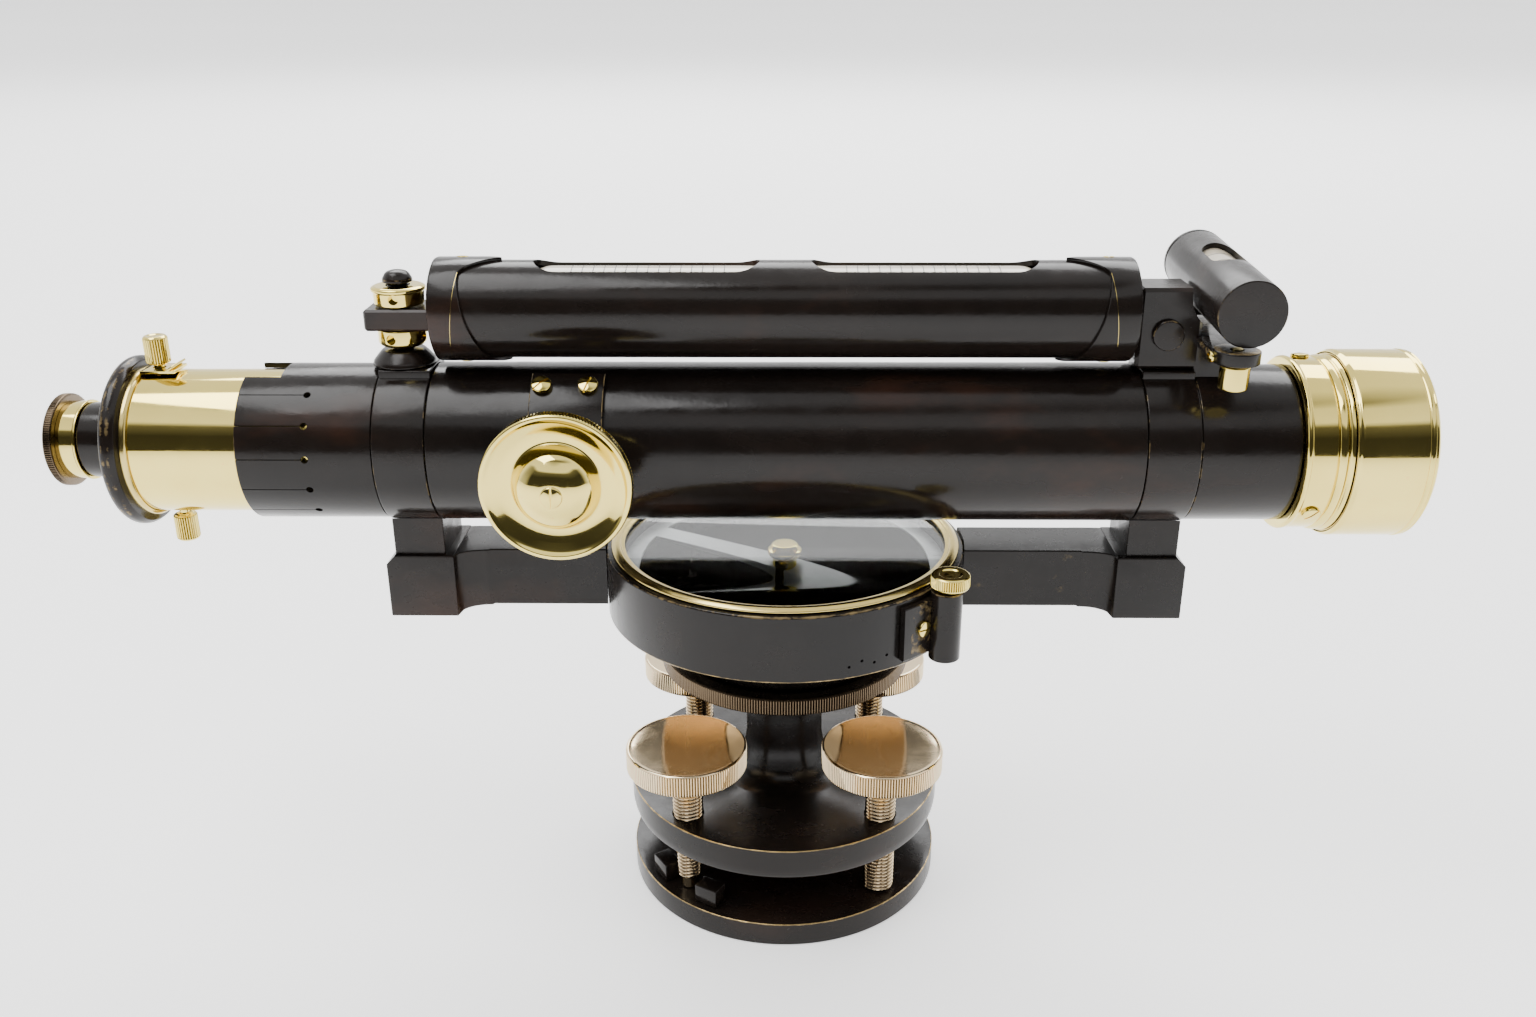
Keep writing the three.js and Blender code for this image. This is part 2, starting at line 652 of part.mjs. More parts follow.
// A round nut with four holes for a pin, screwed on the stud.
function capstanNut(radius, [bottom, top]) {
  const middle = (bottom + top) / 2;
  const body = tube('z', radius, 3.35, [bottom, top], MEDIUM);
  const holes = ['x', 'y'].flatMap((axis) => [-1, 1].map((side) => {
    const span = [side * 4.6, side * (radius + 1)].sort((a, b) => a - b);
    return rodAt(axis, 1.45, span, [0, 0, middle], SMALL);
  }));
  return cut(body, ...holes);
}

piece('level_tube', levelTube(), LACQUER, [0, 0, 0], level);
piece('level_end_left', levelEndLeft(), LACQUER, [0, 0, 0], level);
piece('level_end_right', levelEndRight(), LACQUER, [0, 0, 0], level);
piece('level_vial', levelVial(), VIAL, [0, 0, 0], level);
piece('level_stud', levelStud(), LACQUER, [LEVEL_STUD_X, 0, 0]);
piece('level_nut_upper', capstanNut(7.4, [39.6, 44.8]), BRASS, [LEVEL_STUD_X, 0, 0]);
piece('level_nut_lower', capstanNut(6.6, [28.1, 33]), BRASS, [LEVEL_STUD_X, 0, 0]);

// ---------------------------------------------------------------- right pillar and cross level
function crossRod(radius, half) {
  const geometry = new THREE.CylinderGeometry(radius, radius, 2 * half, MEDIUM);
  geometry.rotateX(CROSS.tilt);
  geometry.translate(CROSS.x, 0, CROSS.z);
  return toSolid(geometry);
}

// Forked pillar that holds the main level's pin, hollowed beside the cross level's tube.
function levelPillar() {
  const body = block([95.2, 112.6], [-7, 7], [23, 45.3]);
  const forkZ = [LEVEL_PIN.z - 6, LEVEL_PIN.z + 6];
  const fork = block([94, LEVEL_PIN.x + 3], [-3.7, 3.7], forkZ);
  const pinHole = rodAt('y', 2.3, [-10, 10], [LEVEL_PIN.x, 0, LEVEL_PIN.z], SMALL);
  return cut(body, fork, pinHole, crossRod(CROSS.r + 1.3, 40));
}

function levelPin() {
  return turned('y', [
    [0, -8.5], [4.25, -8.5], [4.25, -7.3], [2, -7.3], [2, 7.3], [3.6, 7.3], [3.6, 9], [0, 9],
  ], SMALL);
}

// A beam across the telescope, on a web over the tube, with a boss round the adjusting screw.
function crossBracket() {
  const beam = block(CROSS_BEAM.x, CROSS_BEAM.y, CROSS_BEAM.z);
  const web = block([CROSS_BEAM.x[0], 121], [-7, 7], [20, CROSS_BEAM.z[1]]);
  const screwPlace = [CROSS_SCREW.x, CROSS_SCREW.y, 0];
  const boss = rodAt('z', 6.1, [29.1, 32.6], screwPlace, MEDIUM);
  const screwHole = rodAt('z', 1.9, [20, 40], screwPlace, SMALL);
  const telescope = rod('x', SLEEVE_R + GAP, [100, 130], LARGE);
  return cut(join(beam, web, boss), screwHole, telescope);
}

// Closed tube with a window on top, and an ear at its far end that it tilts on.
function crossTube() {
  const inner = CROSS.r - 1.3;
  const [near, far] = CROSS.y;
  const body = rod('y', CROSS.r, [near, far], MEDIUM);
  const hollow = rod('y', inner, [near + 2, far - 2], MEDIUM);
  const window = block([-4.6, 4.6], [-5, 13], [4, 12]);
  const ear = block([-3.2, 3], [16, 22], [-12.8, -8]);
  return cut(join(body, ear), hollow, window);
}

function crossScrew() {
  return turned('z', [
    [0, 21.9], [3.5, 21.9], [3.9, 22.4], [3.9, 28.5], [1.5, 28.5], [1.5, 32.8], [0, 32.8],
  ], SMALL);
}

const crossLevel = new THREE.Group();
crossLevel.position.set(CROSS.x, 0, CROSS.z);
crossLevel.rotation.x = CROSS.tilt;
instrument.add(crossLevel);

piece('level_pillar', levelPillar(), LACQUER);
piece('level_pivot_pin', levelPin(), LACQUER, [LEVEL_PIN.x, 0, LEVEL_PIN.z]);
piece('cross_level_bracket', crossBracket(), LACQUER);
piece('cross_level_tube', crossTube(), LACQUER, [0, 0, 0], crossLevel);
piece('cross_level_vial', rod('y', 6.4, [-19, 19], SMALL), VIAL, [0, 0, 0], crossLevel);
piece('cross_level_screw', crossScrew(), BRASS, [CROSS_SCREW.x, CROSS_SCREW.y, 0]);

export default group;
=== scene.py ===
# The looks of the dumpy level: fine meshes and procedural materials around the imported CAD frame.
import math

import bmesh
import bpy
from mathutils import Matrix, Vector


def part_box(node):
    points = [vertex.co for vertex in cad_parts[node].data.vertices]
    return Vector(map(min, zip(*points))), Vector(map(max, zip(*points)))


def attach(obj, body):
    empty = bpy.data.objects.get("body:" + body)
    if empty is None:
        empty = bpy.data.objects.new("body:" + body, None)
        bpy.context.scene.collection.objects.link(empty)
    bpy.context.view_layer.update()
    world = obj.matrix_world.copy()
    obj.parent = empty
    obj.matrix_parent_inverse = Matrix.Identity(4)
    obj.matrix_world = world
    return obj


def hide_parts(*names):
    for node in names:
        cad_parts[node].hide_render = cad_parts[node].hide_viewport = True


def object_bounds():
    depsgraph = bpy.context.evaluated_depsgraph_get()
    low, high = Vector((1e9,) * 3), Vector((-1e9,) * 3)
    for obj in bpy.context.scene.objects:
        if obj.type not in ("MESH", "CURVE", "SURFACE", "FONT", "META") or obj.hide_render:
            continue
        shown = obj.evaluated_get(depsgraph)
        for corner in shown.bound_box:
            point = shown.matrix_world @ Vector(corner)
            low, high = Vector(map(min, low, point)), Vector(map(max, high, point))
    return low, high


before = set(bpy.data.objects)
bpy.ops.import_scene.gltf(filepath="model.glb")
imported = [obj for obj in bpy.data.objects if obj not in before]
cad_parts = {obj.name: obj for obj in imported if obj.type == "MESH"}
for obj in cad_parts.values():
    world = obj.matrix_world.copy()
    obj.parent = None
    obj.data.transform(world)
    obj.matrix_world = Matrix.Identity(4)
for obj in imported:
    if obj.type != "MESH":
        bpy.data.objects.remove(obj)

CAD_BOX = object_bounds()
MM = 0.001
TAU = 2 * math.pi


# ------------------------------------------------------------------ places from the frame
def extent(node):
    """A node's low and high corners, in millimetres."""
    low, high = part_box(node)
    return [v / MM for v in low], [v / MM for v in high]


def middle(node):
    low, high = extent(node)
    return [(a + b) / 2 for a, b in zip(low, high)]


# Everything below is in millimetres from where the telescope's axis crosses the vertical axis.
AXIS_X = middle("lower_plate")[0]
AXIS_Z = middle("main_tube")[2]
ORIGIN = Vector((AXIS_X, 0, AXIS_Z)) * MM


def low(node):
    x, y, z = extent(node)[0]
    return Vector((x - AXIS_X, y, z - AXIS_Z))


def high(node):
    x, y, z = extent(node)[1]
    return Vector((x - AXIS_X, y, z - AXIS_Z))


def ends(node):
    return low(node), high(node)


def centre(node):
    return (low(node) + high(node)) / 2


# ------------------------------------------------------------------ mesh tools
def fillet(profile, closed, steps=4):
    """Round a profile's corners. Each corner is (radius, distance, rounding, wear)."""
    corners = [(c + (0, 0))[:4] for c in profile]
    count = len(corners)
    points = []
    for i, (r, d, rounding, wear_and_shade) in enumerate(corners):
        here = Vector((r, d))
        at_end = not closed and i in (0, count - 1)
        if rounding <= 0 or at_end:
            points.append((r, d, wear_and_shade))
            continue
        before = Vector(corners[i - 1][:2]) - here
        after = Vector(corners[(i + 1) % count][:2]) - here
        reach = min(rounding, 0.46 * before.length, 0.46 * after.length)
        start = here + before.normalized() * reach
        end = here + after.normalized() * reach
        for k in range(steps + 1):
            s = k / steps
            p = start * (1 - s) ** 2 + here * 2 * s * (1 - s) + end * s ** 2
            points.append((p.x, p.y, wear_and_shade * (1 - abs(2 * s - 1) ** 2)))
    return points


AXES = {
    "x": Matrix(((0, 0, 1), (1, 0, 0), (0, 1, 0))),
    "y": Matrix(((1, 0, 0), (0, 0, 1), (0, 1, 0))),
    "z": Matrix.Identity(3),
}


GROOVE_START = 0.02
GROOVE_DEPTH = 0.35


def turned(profile, axis="z", segments=128, place=(0, 0, 0), ripple=None, steps=4):
    """A turned solid. A profile that starts on the axis ends there; any other closes on itself.

    A ripple gives the true radius at a place, and the grooves that it makes are marked for painted shade.
    """
    on_axis = 1e-6
    closed = profile[0][0] > on_axis
    points = fillet(profile, closed, steps)
    turn = AXES[axis]
    place = Vector(place)
    verts, wear_and_shade_values, rings = [], [], []
    for r, d, wear_and_shade in points:
        if r < on_axis:
            rings.append([len(verts)] * segments)
            verts.append(turn @ Vector((0, 0, d)) + place)
            wear_and_shade_values.append(wear_and_shade)
            continue
        ring = []
        for j in range(segments):
            angle = TAU * j / segments
            radius = ripple(r, d, angle, j) if ripple else r
            ring.append(len(verts))
            local = Vector((radius * math.cos(angle), radius * math.sin(angle), d))
            verts.append(turn @ local + place)
            # Points sunk into a groove get negative values: painted shade that darkens the groove.
            depth = r - radius
            wear_and_shade_values.append(wear_and_shade if depth < GROOVE_START else -min(1, depth / GROOVE_DEPTH))
        rings.append(ring)
    faces = []
    for lower, upper in zip(rings, rings[1:] + rings[:1] if closed else rings[1:]):
        for j in range(segments):
            k = (j + 1) % segments
            face = []
            for index in (lower[j], lower[k], upper[k], upper[j]):
                if index not in face:
                    face.append(index)
            if len(face) > 2:
                faces.append(face)
    return new_mesh(verts, faces, wear_and_shade_values)


def new_mesh(verts, faces, wear_and_shade_values=None):
    """A mesh from millimetres about ORIGIN, with outward faces and an attribute for worn edges and painted
    groove shade.
    """
    mesh = bpy.data.meshes.new("mesh")
    mesh.from_pydata([Vector(v) * MM + ORIGIN for v in verts], [], faces)
    layer = mesh.attributes.new("wear_and_shade", "FLOAT", "POINT")
    if wear_and_shade_values:
        layer.data.foreach_set("value", wear_and_shade_values)
    work = bmesh.new()
    work.from_mesh(mesh)
    bmesh.ops.recalc_face_normals(work, faces=work.faces)
    work.to_mesh(mesh)
    work.free()
    return mesh


def skin(rows, count):
    """The faces of a closed strip: rows of points that each run once round, with an end on each side."""
    faces = []
    for here in range(0, (rows - 1) * count, count):
        for k in range(count):
            m = (k + 1) % count
            faces.append((here + k, here + m, here + count + m, here + count + k))
    last = (rows - 1) * count
    return faces + [tuple(range(count)), tuple(last + k for k in reversed(range(count)))]


def mesh_from(work):
    mesh = bpy.data.meshes.new("mesh")
    work.to_mesh(mesh)
    work.free()
    return mesh


def merged(meshes):
    """One mesh from several, which stay separate shells."""
    work = bmesh.new()
    for mesh in meshes:
        work.from_mesh(mesh)
    return mesh_from(work)


def box_mesh(lo, hi, bevel=0.0, wear_and_shade=0.0, segments=3):
    """A box between two corners with rounded edges, which carry the wear."""
    work = bmesh.new()
    bmesh.ops.create_cube(work, size=1)
    lo, hi = Vector(lo), Vector(hi)
    for v in work.verts:
        v.co = Vector((lo[i] + (v.co[i] + 0.5) * (hi[i] - lo[i]) for i in range(3)))
    layer = work.verts.layers.float.new("wear_and_shade")
    if bevel:
        made = bmesh.ops.bevel(work, geom=work.edges[:], offset=bevel, segments=segments,
                               profile=0.5, affect="EDGES")
        for face in made["faces"]:
            for v in face.verts:
                v[layer] = wear_and_shade
    for v in work.verts:
        v.co = v.co * MM + ORIGIN
    return mesh_from(work)


def moved(mesh, matrix, about=(0, 0, 0)):
    """Turn or move a mesh about a point given in millimetres from ORIGIN."""
    pivot = Vector(about) * MM + ORIGIN
    mesh.transform(Matrix.Translation(pivot) @ matrix @ Matrix.Translation(-pivot))
    return mesh


def shift(mesh, offset):
    mesh.transform(Matrix.Translation(Vector(offset) * MM))
    return mesh


def placed(name, data):
    """An object in the scene that shows a mesh, a light or a camera."""
    obj = bpy.data.objects.new(name, data)
    bpy.context.scene.collection.objects.link(obj)
    return obj


def boolean(base, tools, operation="DIFFERENCE"):
    """Cut or join closed meshes exactly, and give the resulting mesh."""
    body = placed("boolean_base", base)
    helpers = []
    for tool in tools:
        helper = placed("boolean_tool", tool)
        step = body.modifiers.new("step", "BOOLEAN")
        step.operation = operation
        step.solver = "EXACT"
        step.object = helper
        helpers.append(helper)
    graph = bpy.context.evaluated_depsgraph_get()
    result = bpy.data.meshes.new_from_object(body.evaluated_get(graph))
    for o in helpers + [body]:
        bpy.data.objects.remove(o)
    return result


def cut(base, *tools):
    return boolean(base, tools)


def join(base, *tools):
    return boolean(base, tools, "UNION")


def mark_shaded_groove(mesh):
    """Mark a cutter, so that the groove it leaves is painted dark, as painted shade."""
    mesh.attributes["wear_and_shade"].data.foreach_set("value", [-1] * len(mesh.vertices))
    return mesh


def rod(axis, radius, start, end, place=(0, 0, 0), segments=48):
    return turned([(0, start), (radius, start), (radius, end), (0, end)], axis, segments, place)


def pipe(bore, radius, start, end, edge, wear_and_shade_values=(0, 0), segments=160, place=(0, 0, 0)):
    """A plain tube along X with rounded outer edges."""
    profile = [(bore, start), (radius, start, edge, wear_and_shade_values[0]), (radius, end, edge, wear_and_shade_values[1]), (bore, end)]
    return turned(profile, "x", segments, place)


def piece(name, mesh, material, body, node=None, smooth=35):
    """Put a finished mesh in the scene, riding on its body and standing for its CAD node."""
    mesh.name = name
    mesh.shade_smooth()
    mesh.set_sharp_from_angle(angle=math.radians(smooth))
    mesh.materials.clear()
    mesh.materials.append(material)
    obj = placed(name, mesh)
    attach(obj, body)
    if node:
        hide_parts(node)


def milling(count, depth, band):
    """Straight grooves round a rim: a ripple for turned(), and the segments that it needs."""
    shape = [0, 0, 0.75, 1]
    samples = len(shape)
    inner, low_end, high_end = band

    def ripple(r, d, angle, j):
        if r < inner or not low_end <= d <= high_end:
            return r
        return r - depth * shape[j % samples]

    return ripple, count * samples


def helix(least, most, pitch, depth):
    """A screw thread for turned(), on the stretches of a profile between two radii."""
    def ripple(r, d, angle, j):
        if not least <= r <= most:
            return r
        return r - depth * (1 - abs(2 * ((d / pitch - angle / TAU) % 1) - 1))

    return ripple


def aim(direction):
    """The rotation that takes +Z to a direction."""
    return Vector((0, 0, 1)).rotation_difference(Vector(direction)).to_matrix().to_4x4()


def outward(degrees):
    """The direction away from the telescope's axis, in degrees from -Y upward."""
    angle = math.radians(degrees)
    return Vector((0, -math.cos(angle), math.sin(angle)))


def slotted_screw(name, at, direction, radius, height, turn, body, node=None, edge=0.3):
    """A slotted brass screw head standing on a surface, with its slot turned by an angle."""
    half_slot = 0.25
    head = turned([(0, 0), (radius, 0, 0.1), (radius, height * 0.75, edge), (0, height)],
                  "z", 40, steps=3)
    slot = mark_shaded_groove(box_mesh((-radius - 1, -half_slot, height * 0.35), (radius + 1, half_slot, height + 1)))
    moved(slot, Matrix.Rotation(math.radians(turn), 4, "Z"))
    head = moved(cut(head, slot), aim(direction))
    piece(name, shift(head, at), BRASS, body, node)


def wrapped(radius, thickness, x_range, angle_range, bevel=0.3, columns=24, wear_and_shade=0.0):
    """A plate bent round the X axis: radius to its inner face, angles in degrees from -Y upward."""
    verts, wear_and_shade_values = [], []
    x0, x1 = x_range
    a0, a1 = angle_range
    section = fillet([(radius, x0, 0.05), (radius, x1, 0.05), (radius + thickness, x1, bevel, wear_and_shade),
                      (radius + thickness, x0, bevel, wear_and_shade)], True, 3)
    for i in range(columns + 1):
        angle = math.radians(a0 + (a1 - a0) * i / columns)
        for r, x, worn in section:
            verts.append((x, -r * math.cos(angle), r * math.sin(angle)))
            wear_and_shade_values.append(worn)
    return new_mesh(verts, skin(columns + 1, len(section)), wear_and_shade_values)


class Nodes:
    """A short way to write the node tree of a material, or of the world."""

    def __init__(self, name, world=False):
        self.owner = (bpy.data.worlds if world else bpy.data.materials).new(name)
        self.owner.use_nodes = True
        self.tree = self.owner.node_tree
        self.shader = self.tree.nodes["Background" if world else "Principled BSDF"]
        coordinates = self.tree.nodes.new("ShaderNodeTexCoord")
        self.place = coordinates.outputs["Generated" if world else "Object"]

    def add(self, kind, **inputs):
        node = self.tree.nodes.new(kind)
        for key, value in inputs.items():
            self.put(node, key.replace("_", " "), value)
        return node

    def put(self, node, key, value):
        socket = node.inputs[int(key)] if key.isdigit() else node.inputs[key]
        if isinstance(value, bpy.types.NodeSocket):
            self.tree.links.new(value, socket)
        else:
            socket.default_value = value

    def shade(self, **inputs):
        for key, value in inputs.items():
            self.put(self.shader, key.replace("_", " "), value)

    def stretch(self, scale):
        return self.add("ShaderNodeMapping", Vector=self.place, Scale=scale).outputs["Vector"]

    def noise(self, scale, detail=4, rough=0.6, vector=None):
        node = self.add("ShaderNodeTexNoise", Vector=vector or self.place, Scale=scale, Detail=detail,
                        Roughness=rough)
        return node.outputs["Fac"]

    def ramp(self, factor, stops):
        node = self.add("ShaderNodeValToRGB", Fac=factor)
        elements = node.color_ramp.elements
        while len(elements) < len(stops):
            elements.new(0.5)
        for element, (position, color) in zip(elements, stops):
            element.position = position
            element.color = (*color, 1)
        return node.outputs["Color"]

    def spread(self, factor, low_value, high_value, start=0.35, end=0.65):
        node = self.add("ShaderNodeMapRange", Value=factor, From_Min=start, From_Max=end,
                        To_Min=low_value, To_Max=high_value)
        return node.outputs["Result"]

    def math(self, operation, a, b):
        node = self.tree.nodes.new("ShaderNodeMath")
        node.operation = operation
        self.put(node, "0", a)
        self.put(node, "1", b)
        return node.outputs["Value"]

    def mix(self, factor, a, b):
        node = self.tree.nodes.new("ShaderNodeMix")
        node.data_type = "RGBA"
        for socket, value in (("0", factor), ("6", a), ("7", b)):
            self.put(node, socket, value)
        return node.outputs[2]

    def wear_and_shade(self):
        """Worn edges, from 0 to 1, and the painted shade in grooves, from 0 to 1."""
        node = self.tree.nodes.new("ShaderNodeAttribute")
        node.attribute_name = "wear_and_shade"
        value = node.outputs["Fac"]
        return self.spread(value, 0, 1, 0, 1), self.spread(value, 1, 0, -1, 0)

    def bump(self, height, strength, distance):
        node = self.add("ShaderNodeBump", Height=height, Strength=strength, Distance=distance)
        return node.outputs["Normal"]


def lacquer(name, gloss, brown, worn):
    """Black-brown lacquer on brass: cloudy red-brown, hairline scratches, bare worn edges, painted shade in
    grooves.
    """
    n = Nodes(name)
    cloud = n.noise(18, 5, 0.6, n.stretch((0.5, 1, 1)))
    streak = n.noise(90, 4, 0.6, n.stretch((0.25, 1, 1)))
    speck = n.noise(900, 2, 0.5)
    color = n.ramp(cloud, [(0.40, (0.0060, 0.0048, 0.0042)), (0.56, (0.0105, 0.0075, 0.006)),
                           (0.74, brown)])
    color = n.mix(n.spread(streak, 0, 0.3, 0.58, 0.78), color, (0.022, 0.014, 0.010, 1))
    worn_edge, groove_shade = n.wear_and_shade()
    bald = n.spread(n.noise(300, 4, 0.65), -0.7, 0, 0.36, 0.62)
    edge = n.math("ADD", n.math("MULTIPLY", worn_edge, 1.6), bald)
    edge = n.math("MULTIPLY", n.math("MAXIMUM", edge, 0.0), 0.9)
    patch = n.spread(n.noise(60, 6, 0.7), 0, worn, 0.66, 0.72)
    bare = n.math("MINIMUM", n.math("ADD", edge, patch), 1.0)
    # Worn edges show bare brass; grooves and cut slots get painted shade in near-black.
    bare_brass, groove_shade_tone = (0.50, 0.36, 0.16, 1), (0.003, 0.0025, 0.002, 1)
    color = n.mix(bare, color, bare_brass)
    color = n.mix(n.math("MULTIPLY", groove_shade, 0.8), color, groove_shade_tone)
    rough = n.spread(n.noise(160, 5, 0.65), gloss, gloss + 0.10)
    rough = n.math("ADD", rough, n.spread(streak, 0, 0.08, 0.5, 0.7))
    grain = n.math("ADD", n.math("MULTIPLY", streak, 0.6), speck)
    n.shade(Base_Color=color, Roughness=rough, Metallic=bare, IOR=1.34, Normal=n.bump(grain, 0.10, 0.0002))
    return n.owner


def brass(name, tint, deep, rough):
    """Polished brass: clouded colour, faint polishing lines, uneven gloss, painted shade in the grooves."""
    n = Nodes(name)
    cloud = n.noise(35, 4, 0.6)
    lines = n.noise(700, 3, 0.6, n.stretch((0.12, 1, 1)))
    stained = (deep[0] * 0.5, deep[1] * 0.42, deep[2] * 0.4, 1)
    groove_shade_brass = (deep[0] * 0.12, deep[1] * 0.08, deep[2] * 0.05, 1)
    color = n.mix(n.spread(cloud, 0, 0.35, 0.42, 0.68), (*tint, 1), (*deep, 1))
    stain = n.spread(n.noise(150, 6, 0.7), 0, 0.5, 0.66, 0.76)
    color = n.mix(n.math("MULTIPLY", stain, 0.5), color, stained)
    # Painted shade: grooves and cut slots are darkened toward a near-black brass.
    groove_shade = n.wear_and_shade()[1]
    color = n.mix(n.math("MULTIPLY", groove_shade, 0.85), color, groove_shade_brass)
    uneven = n.spread(n.noise(120, 4, 0.6), rough, rough + 0.05)
    n.shade(Base_Color=color, Roughness=n.math("ADD", uneven, n.math("MULTIPLY", stain, 0.12)),
            Metallic=1.0, Normal=n.bump(lines, 0.04, 0.0001))
    return n.owner


def steel():
    """Dark bare steel, with faint clouding."""
    n = Nodes("dark_steel")
    cloud = n.noise(60, 5, 0.6)
    n.shade(Base_Color=n.mix(cloud, (0.20, 0.19, 0.18, 1), (0.38, 0.37, 0.36, 1)),
            Roughness=n.spread(cloud, 0.28, 0.42), Metallic=1.0)
    return n.owner


def silvered():
    """Silvered ring: pale grey, satin, with a fine brushed grain."""
    n = Nodes("silvered")
    cloud = n.noise(40, 5, 0.65)
    color = n.ramp(cloud, [(0.3, (0.40, 0.41, 0.42)), (0.7, (0.58, 0.59, 0.59))])
    n.shade(Base_Color=color, Roughness=n.spread(n.noise(500, 3), 0.38, 0.5),
            Metallic=0.35, Normal=n.bump(n.noise(2500, 2), 0.1, 0.00005))
    return n.owner


def glass():
    """Clear glass with a thin dusty haze."""
    n = Nodes("clear_glass")
    haze = n.noise(70, 5, 0.65)
    n.shade(Base_Color=(0.97, 0.985, 0.98, 1), Roughness=n.spread(haze, 0.0, 0.03),
            Transmission_Weight=1.0, IOR=1.45)
    return n.owner


def vial():
    """Cream-backed spirit vial, glossy, with faint clouding."""
    n = Nodes("vial")
    cloud = n.noise(45, 4, 0.6)
    n.shade(Base_Color=n.ramp(cloud, [(0.3, (0.52, 0.45, 0.33)), (0.7, (0.66, 0.59, 0.46))]),
            Roughness=n.spread(cloud, 0.12, 0.2), Coat_Weight=0.6, Coat_Roughness=0.04)
    return n.owner


def division():
    """Black filling of engraved lines."""
    n = Nodes("division")
    color = n.ramp(n.noise(300, 3), [(0.3, (0.01, 0.01, 0.01)), (0.8, (0.05, 0.045, 0.04))])
    n.shade(Base_Color=color, Roughness=0.4)
    return n.owner


LACQUER = lacquer("lacquer", 0.12, (0.046, 0.019, 0.011), 0.0)
SATIN = lacquer("lacquer_satin", 0.17, (0.034, 0.018, 0.012), 0.0)
WORN = lacquer("lacquer_worn", 0.24, (0.044, 0.021, 0.013), 0.12)
KNURLED = brass("brass_dark", (0.150, 0.110, 0.070), (0.085, 0.060, 0.038), 0.24)
BRASS = brass("brass", (0.84, 0.68, 0.20), (0.70, 0.53, 0.11), 0.05)
DULL = brass("brass_dull", (0.66, 0.52, 0.18), (0.46, 0.33, 0.09), 0.14)
PINK = brass("brass_pink", (0.90, 0.72, 0.46), (0.80, 0.61, 0.36), 0.06)
STEEL = steel()
GLASS = glass()
SILVERED = silvered()
VIAL = vial()
DIVISION = division()


# ------------------------------------------------------------------ levelling head
def plates():
    foot_r = high("lower_plate").x
    bottom, boss = low("lower_plate").z, high("lower_plate").z
    top = low("stop_lug_left").z - 0.3
    socket_r, socket_top, cup_r = 20, top - 0.5, 14.4
    foot = turned([(socket_r, bottom), (foot_r - 0.3, bottom, 0.2), (foot_r, bottom + 0.3, 0.3),
                   (foot_r, top, 0.35, 0.9), (foot_r - 2, top, 0.2), (24, top, 1),
                   (19, boss, 0.8), (cup_r, boss, 0.3), (cup_r, socket_top), (socket_r, socket_top, 0.3)],
                  segments=192)
    piece("lower_parallel_plate", foot, SATIN, "base", "lower_plate")

    r = high("upper_plate").x
    bottom, column_top = low("upper_plate").z, high("upper_plate").z
    column_height, hole_r = 36.8, 4.75
    top = column_top - column_height
    plate = turned([(7.3, bottom), (r - 2.2, bottom, 0.6), (r - 0.4, bottom + 1, 0.8),
                    (r, bottom + 3.2, 1.5), (r, top, 0.35, 0.9), (r - 2, top, 0.2), (19, top, 2.5),
                    (15.4, top + 1.6, 1.2), (13.6, top + 3.6, 3), (11.6, top + 10, 8),
                    (11.6, top + 24, 8), (12.6, top + 31, 3), (14.5, top + 34.6, 1.2),
                    (14.5, column_top, 0.4), (9.2, column_top, 0.3)], segments=192, steps=6)
    holes = [rod("z", hole_r, bottom - 1, top + 1, (x, y, 0)) for x, y in screw_places()]
    piece("upper_parallel_plate", cut(plate, *holes), SATIN, "levelling_head", "upper_plate")

    radial, tangential = 2.6, 3.65
    for name in ("stop_lug_left", "stop_lug_right"):
        c = centre(name)
        block = box_mesh((c.x - radial, c.y - tangential, low(name).z),
                         (c.x + radial, c.y + tangential, high(name).z), 0.25)
        moved(block, Matrix.Rotation(math.atan2(c.y, c.x), 4, "Z"), (c.x, c.y, 0))
        piece(f"{name}_block", block, LACQUER, "base", name)


SCREWS = ["front_left", "front_right", "back_left", "back_right"]


def screw_places():
    return [(centre(f"levelling_screw_{s}").x, centre(f"levelling_screw_{s}").y) for s in SCREWS]


def levelling_screws():
    teeth, head_height = 140, 6.8
    thread_pitch, thread_depth, steps_per_turn = 1.2, 0.5, 8
    core, slim, pin = 4.5, 3.5, 2.6
    thread = helix(slim - 0.01, core + 0.01, thread_pitch, thread_depth)

    for name, (x, y) in zip(SCREWS, screw_places()):
        node = f"levelling_screw_{name}"
        tip, top = low(node).z, high(node).z
        radius = (high(node).x - low(node).x) / 2
        under = top - head_height
        ripple, segments = milling(teeth, 0.4, (radius - 0.1, under + 0.3, top - 0.35))
        head = turned([(0, under), (radius - 0.5, under, 0.2), (radius, under + 0.5, 0.2),
                       (radius, top - 0.5, 0.15), (radius - 0.5, top, 0.25), (radius - 1.4, top - 0.12, 0.4),
                       (9, top - 0.6, 8), (0, top - 0.9)], "z", segments, (x, y, 0), ripple)
        piece(f"{node}_head", head, PINK, node, node)

        # One screw ends in a plain pin, with a thinner thread below the upper plate.
        slender = name == "front_left"
        profile = [(0, tip), (pin, tip, 0.5), (pin, tip + 3.4, 0.3)] if slender else [(0, tip)]
        start, step = tip + (4.2 if slender else 0.3), thread_pitch / steps_per_turn
        neck = low("upper_plate").z - 2
        for k in range(int((under - start) / step)):
            d = start + k * step
            profile.append((slim if slender and d < neck else core, d))
        profile.append((0, under + 0.4))
        stem = turned(profile, "z", 48, (x, y, 0), thread)
        piece(f"{node}_stem", stem, PINK, node, smooth=60)


def union_ring():
    lo, hi = ends("milled_ring")
    r, bore, teeth = hi.x, 20, 300
    ripple, segments = milling(teeth, 0.4, (r - 0.1, lo.z + 0.3, hi.z - 0.3))
    ring = turned([(bore, lo.z), (r - 0.5, lo.z, 0.2), (r, lo.z + 0.5, 0.15, 0.5),
                   (r, hi.z - 0.5, 0.15, 0.5), (r - 0.5, hi.z, 0.2), (bore, hi.z)],
                  "z", segments, (0, 0, 0), ripple)
    piece("union_ring", ring, KNURLED, "telescope", "milled_ring")


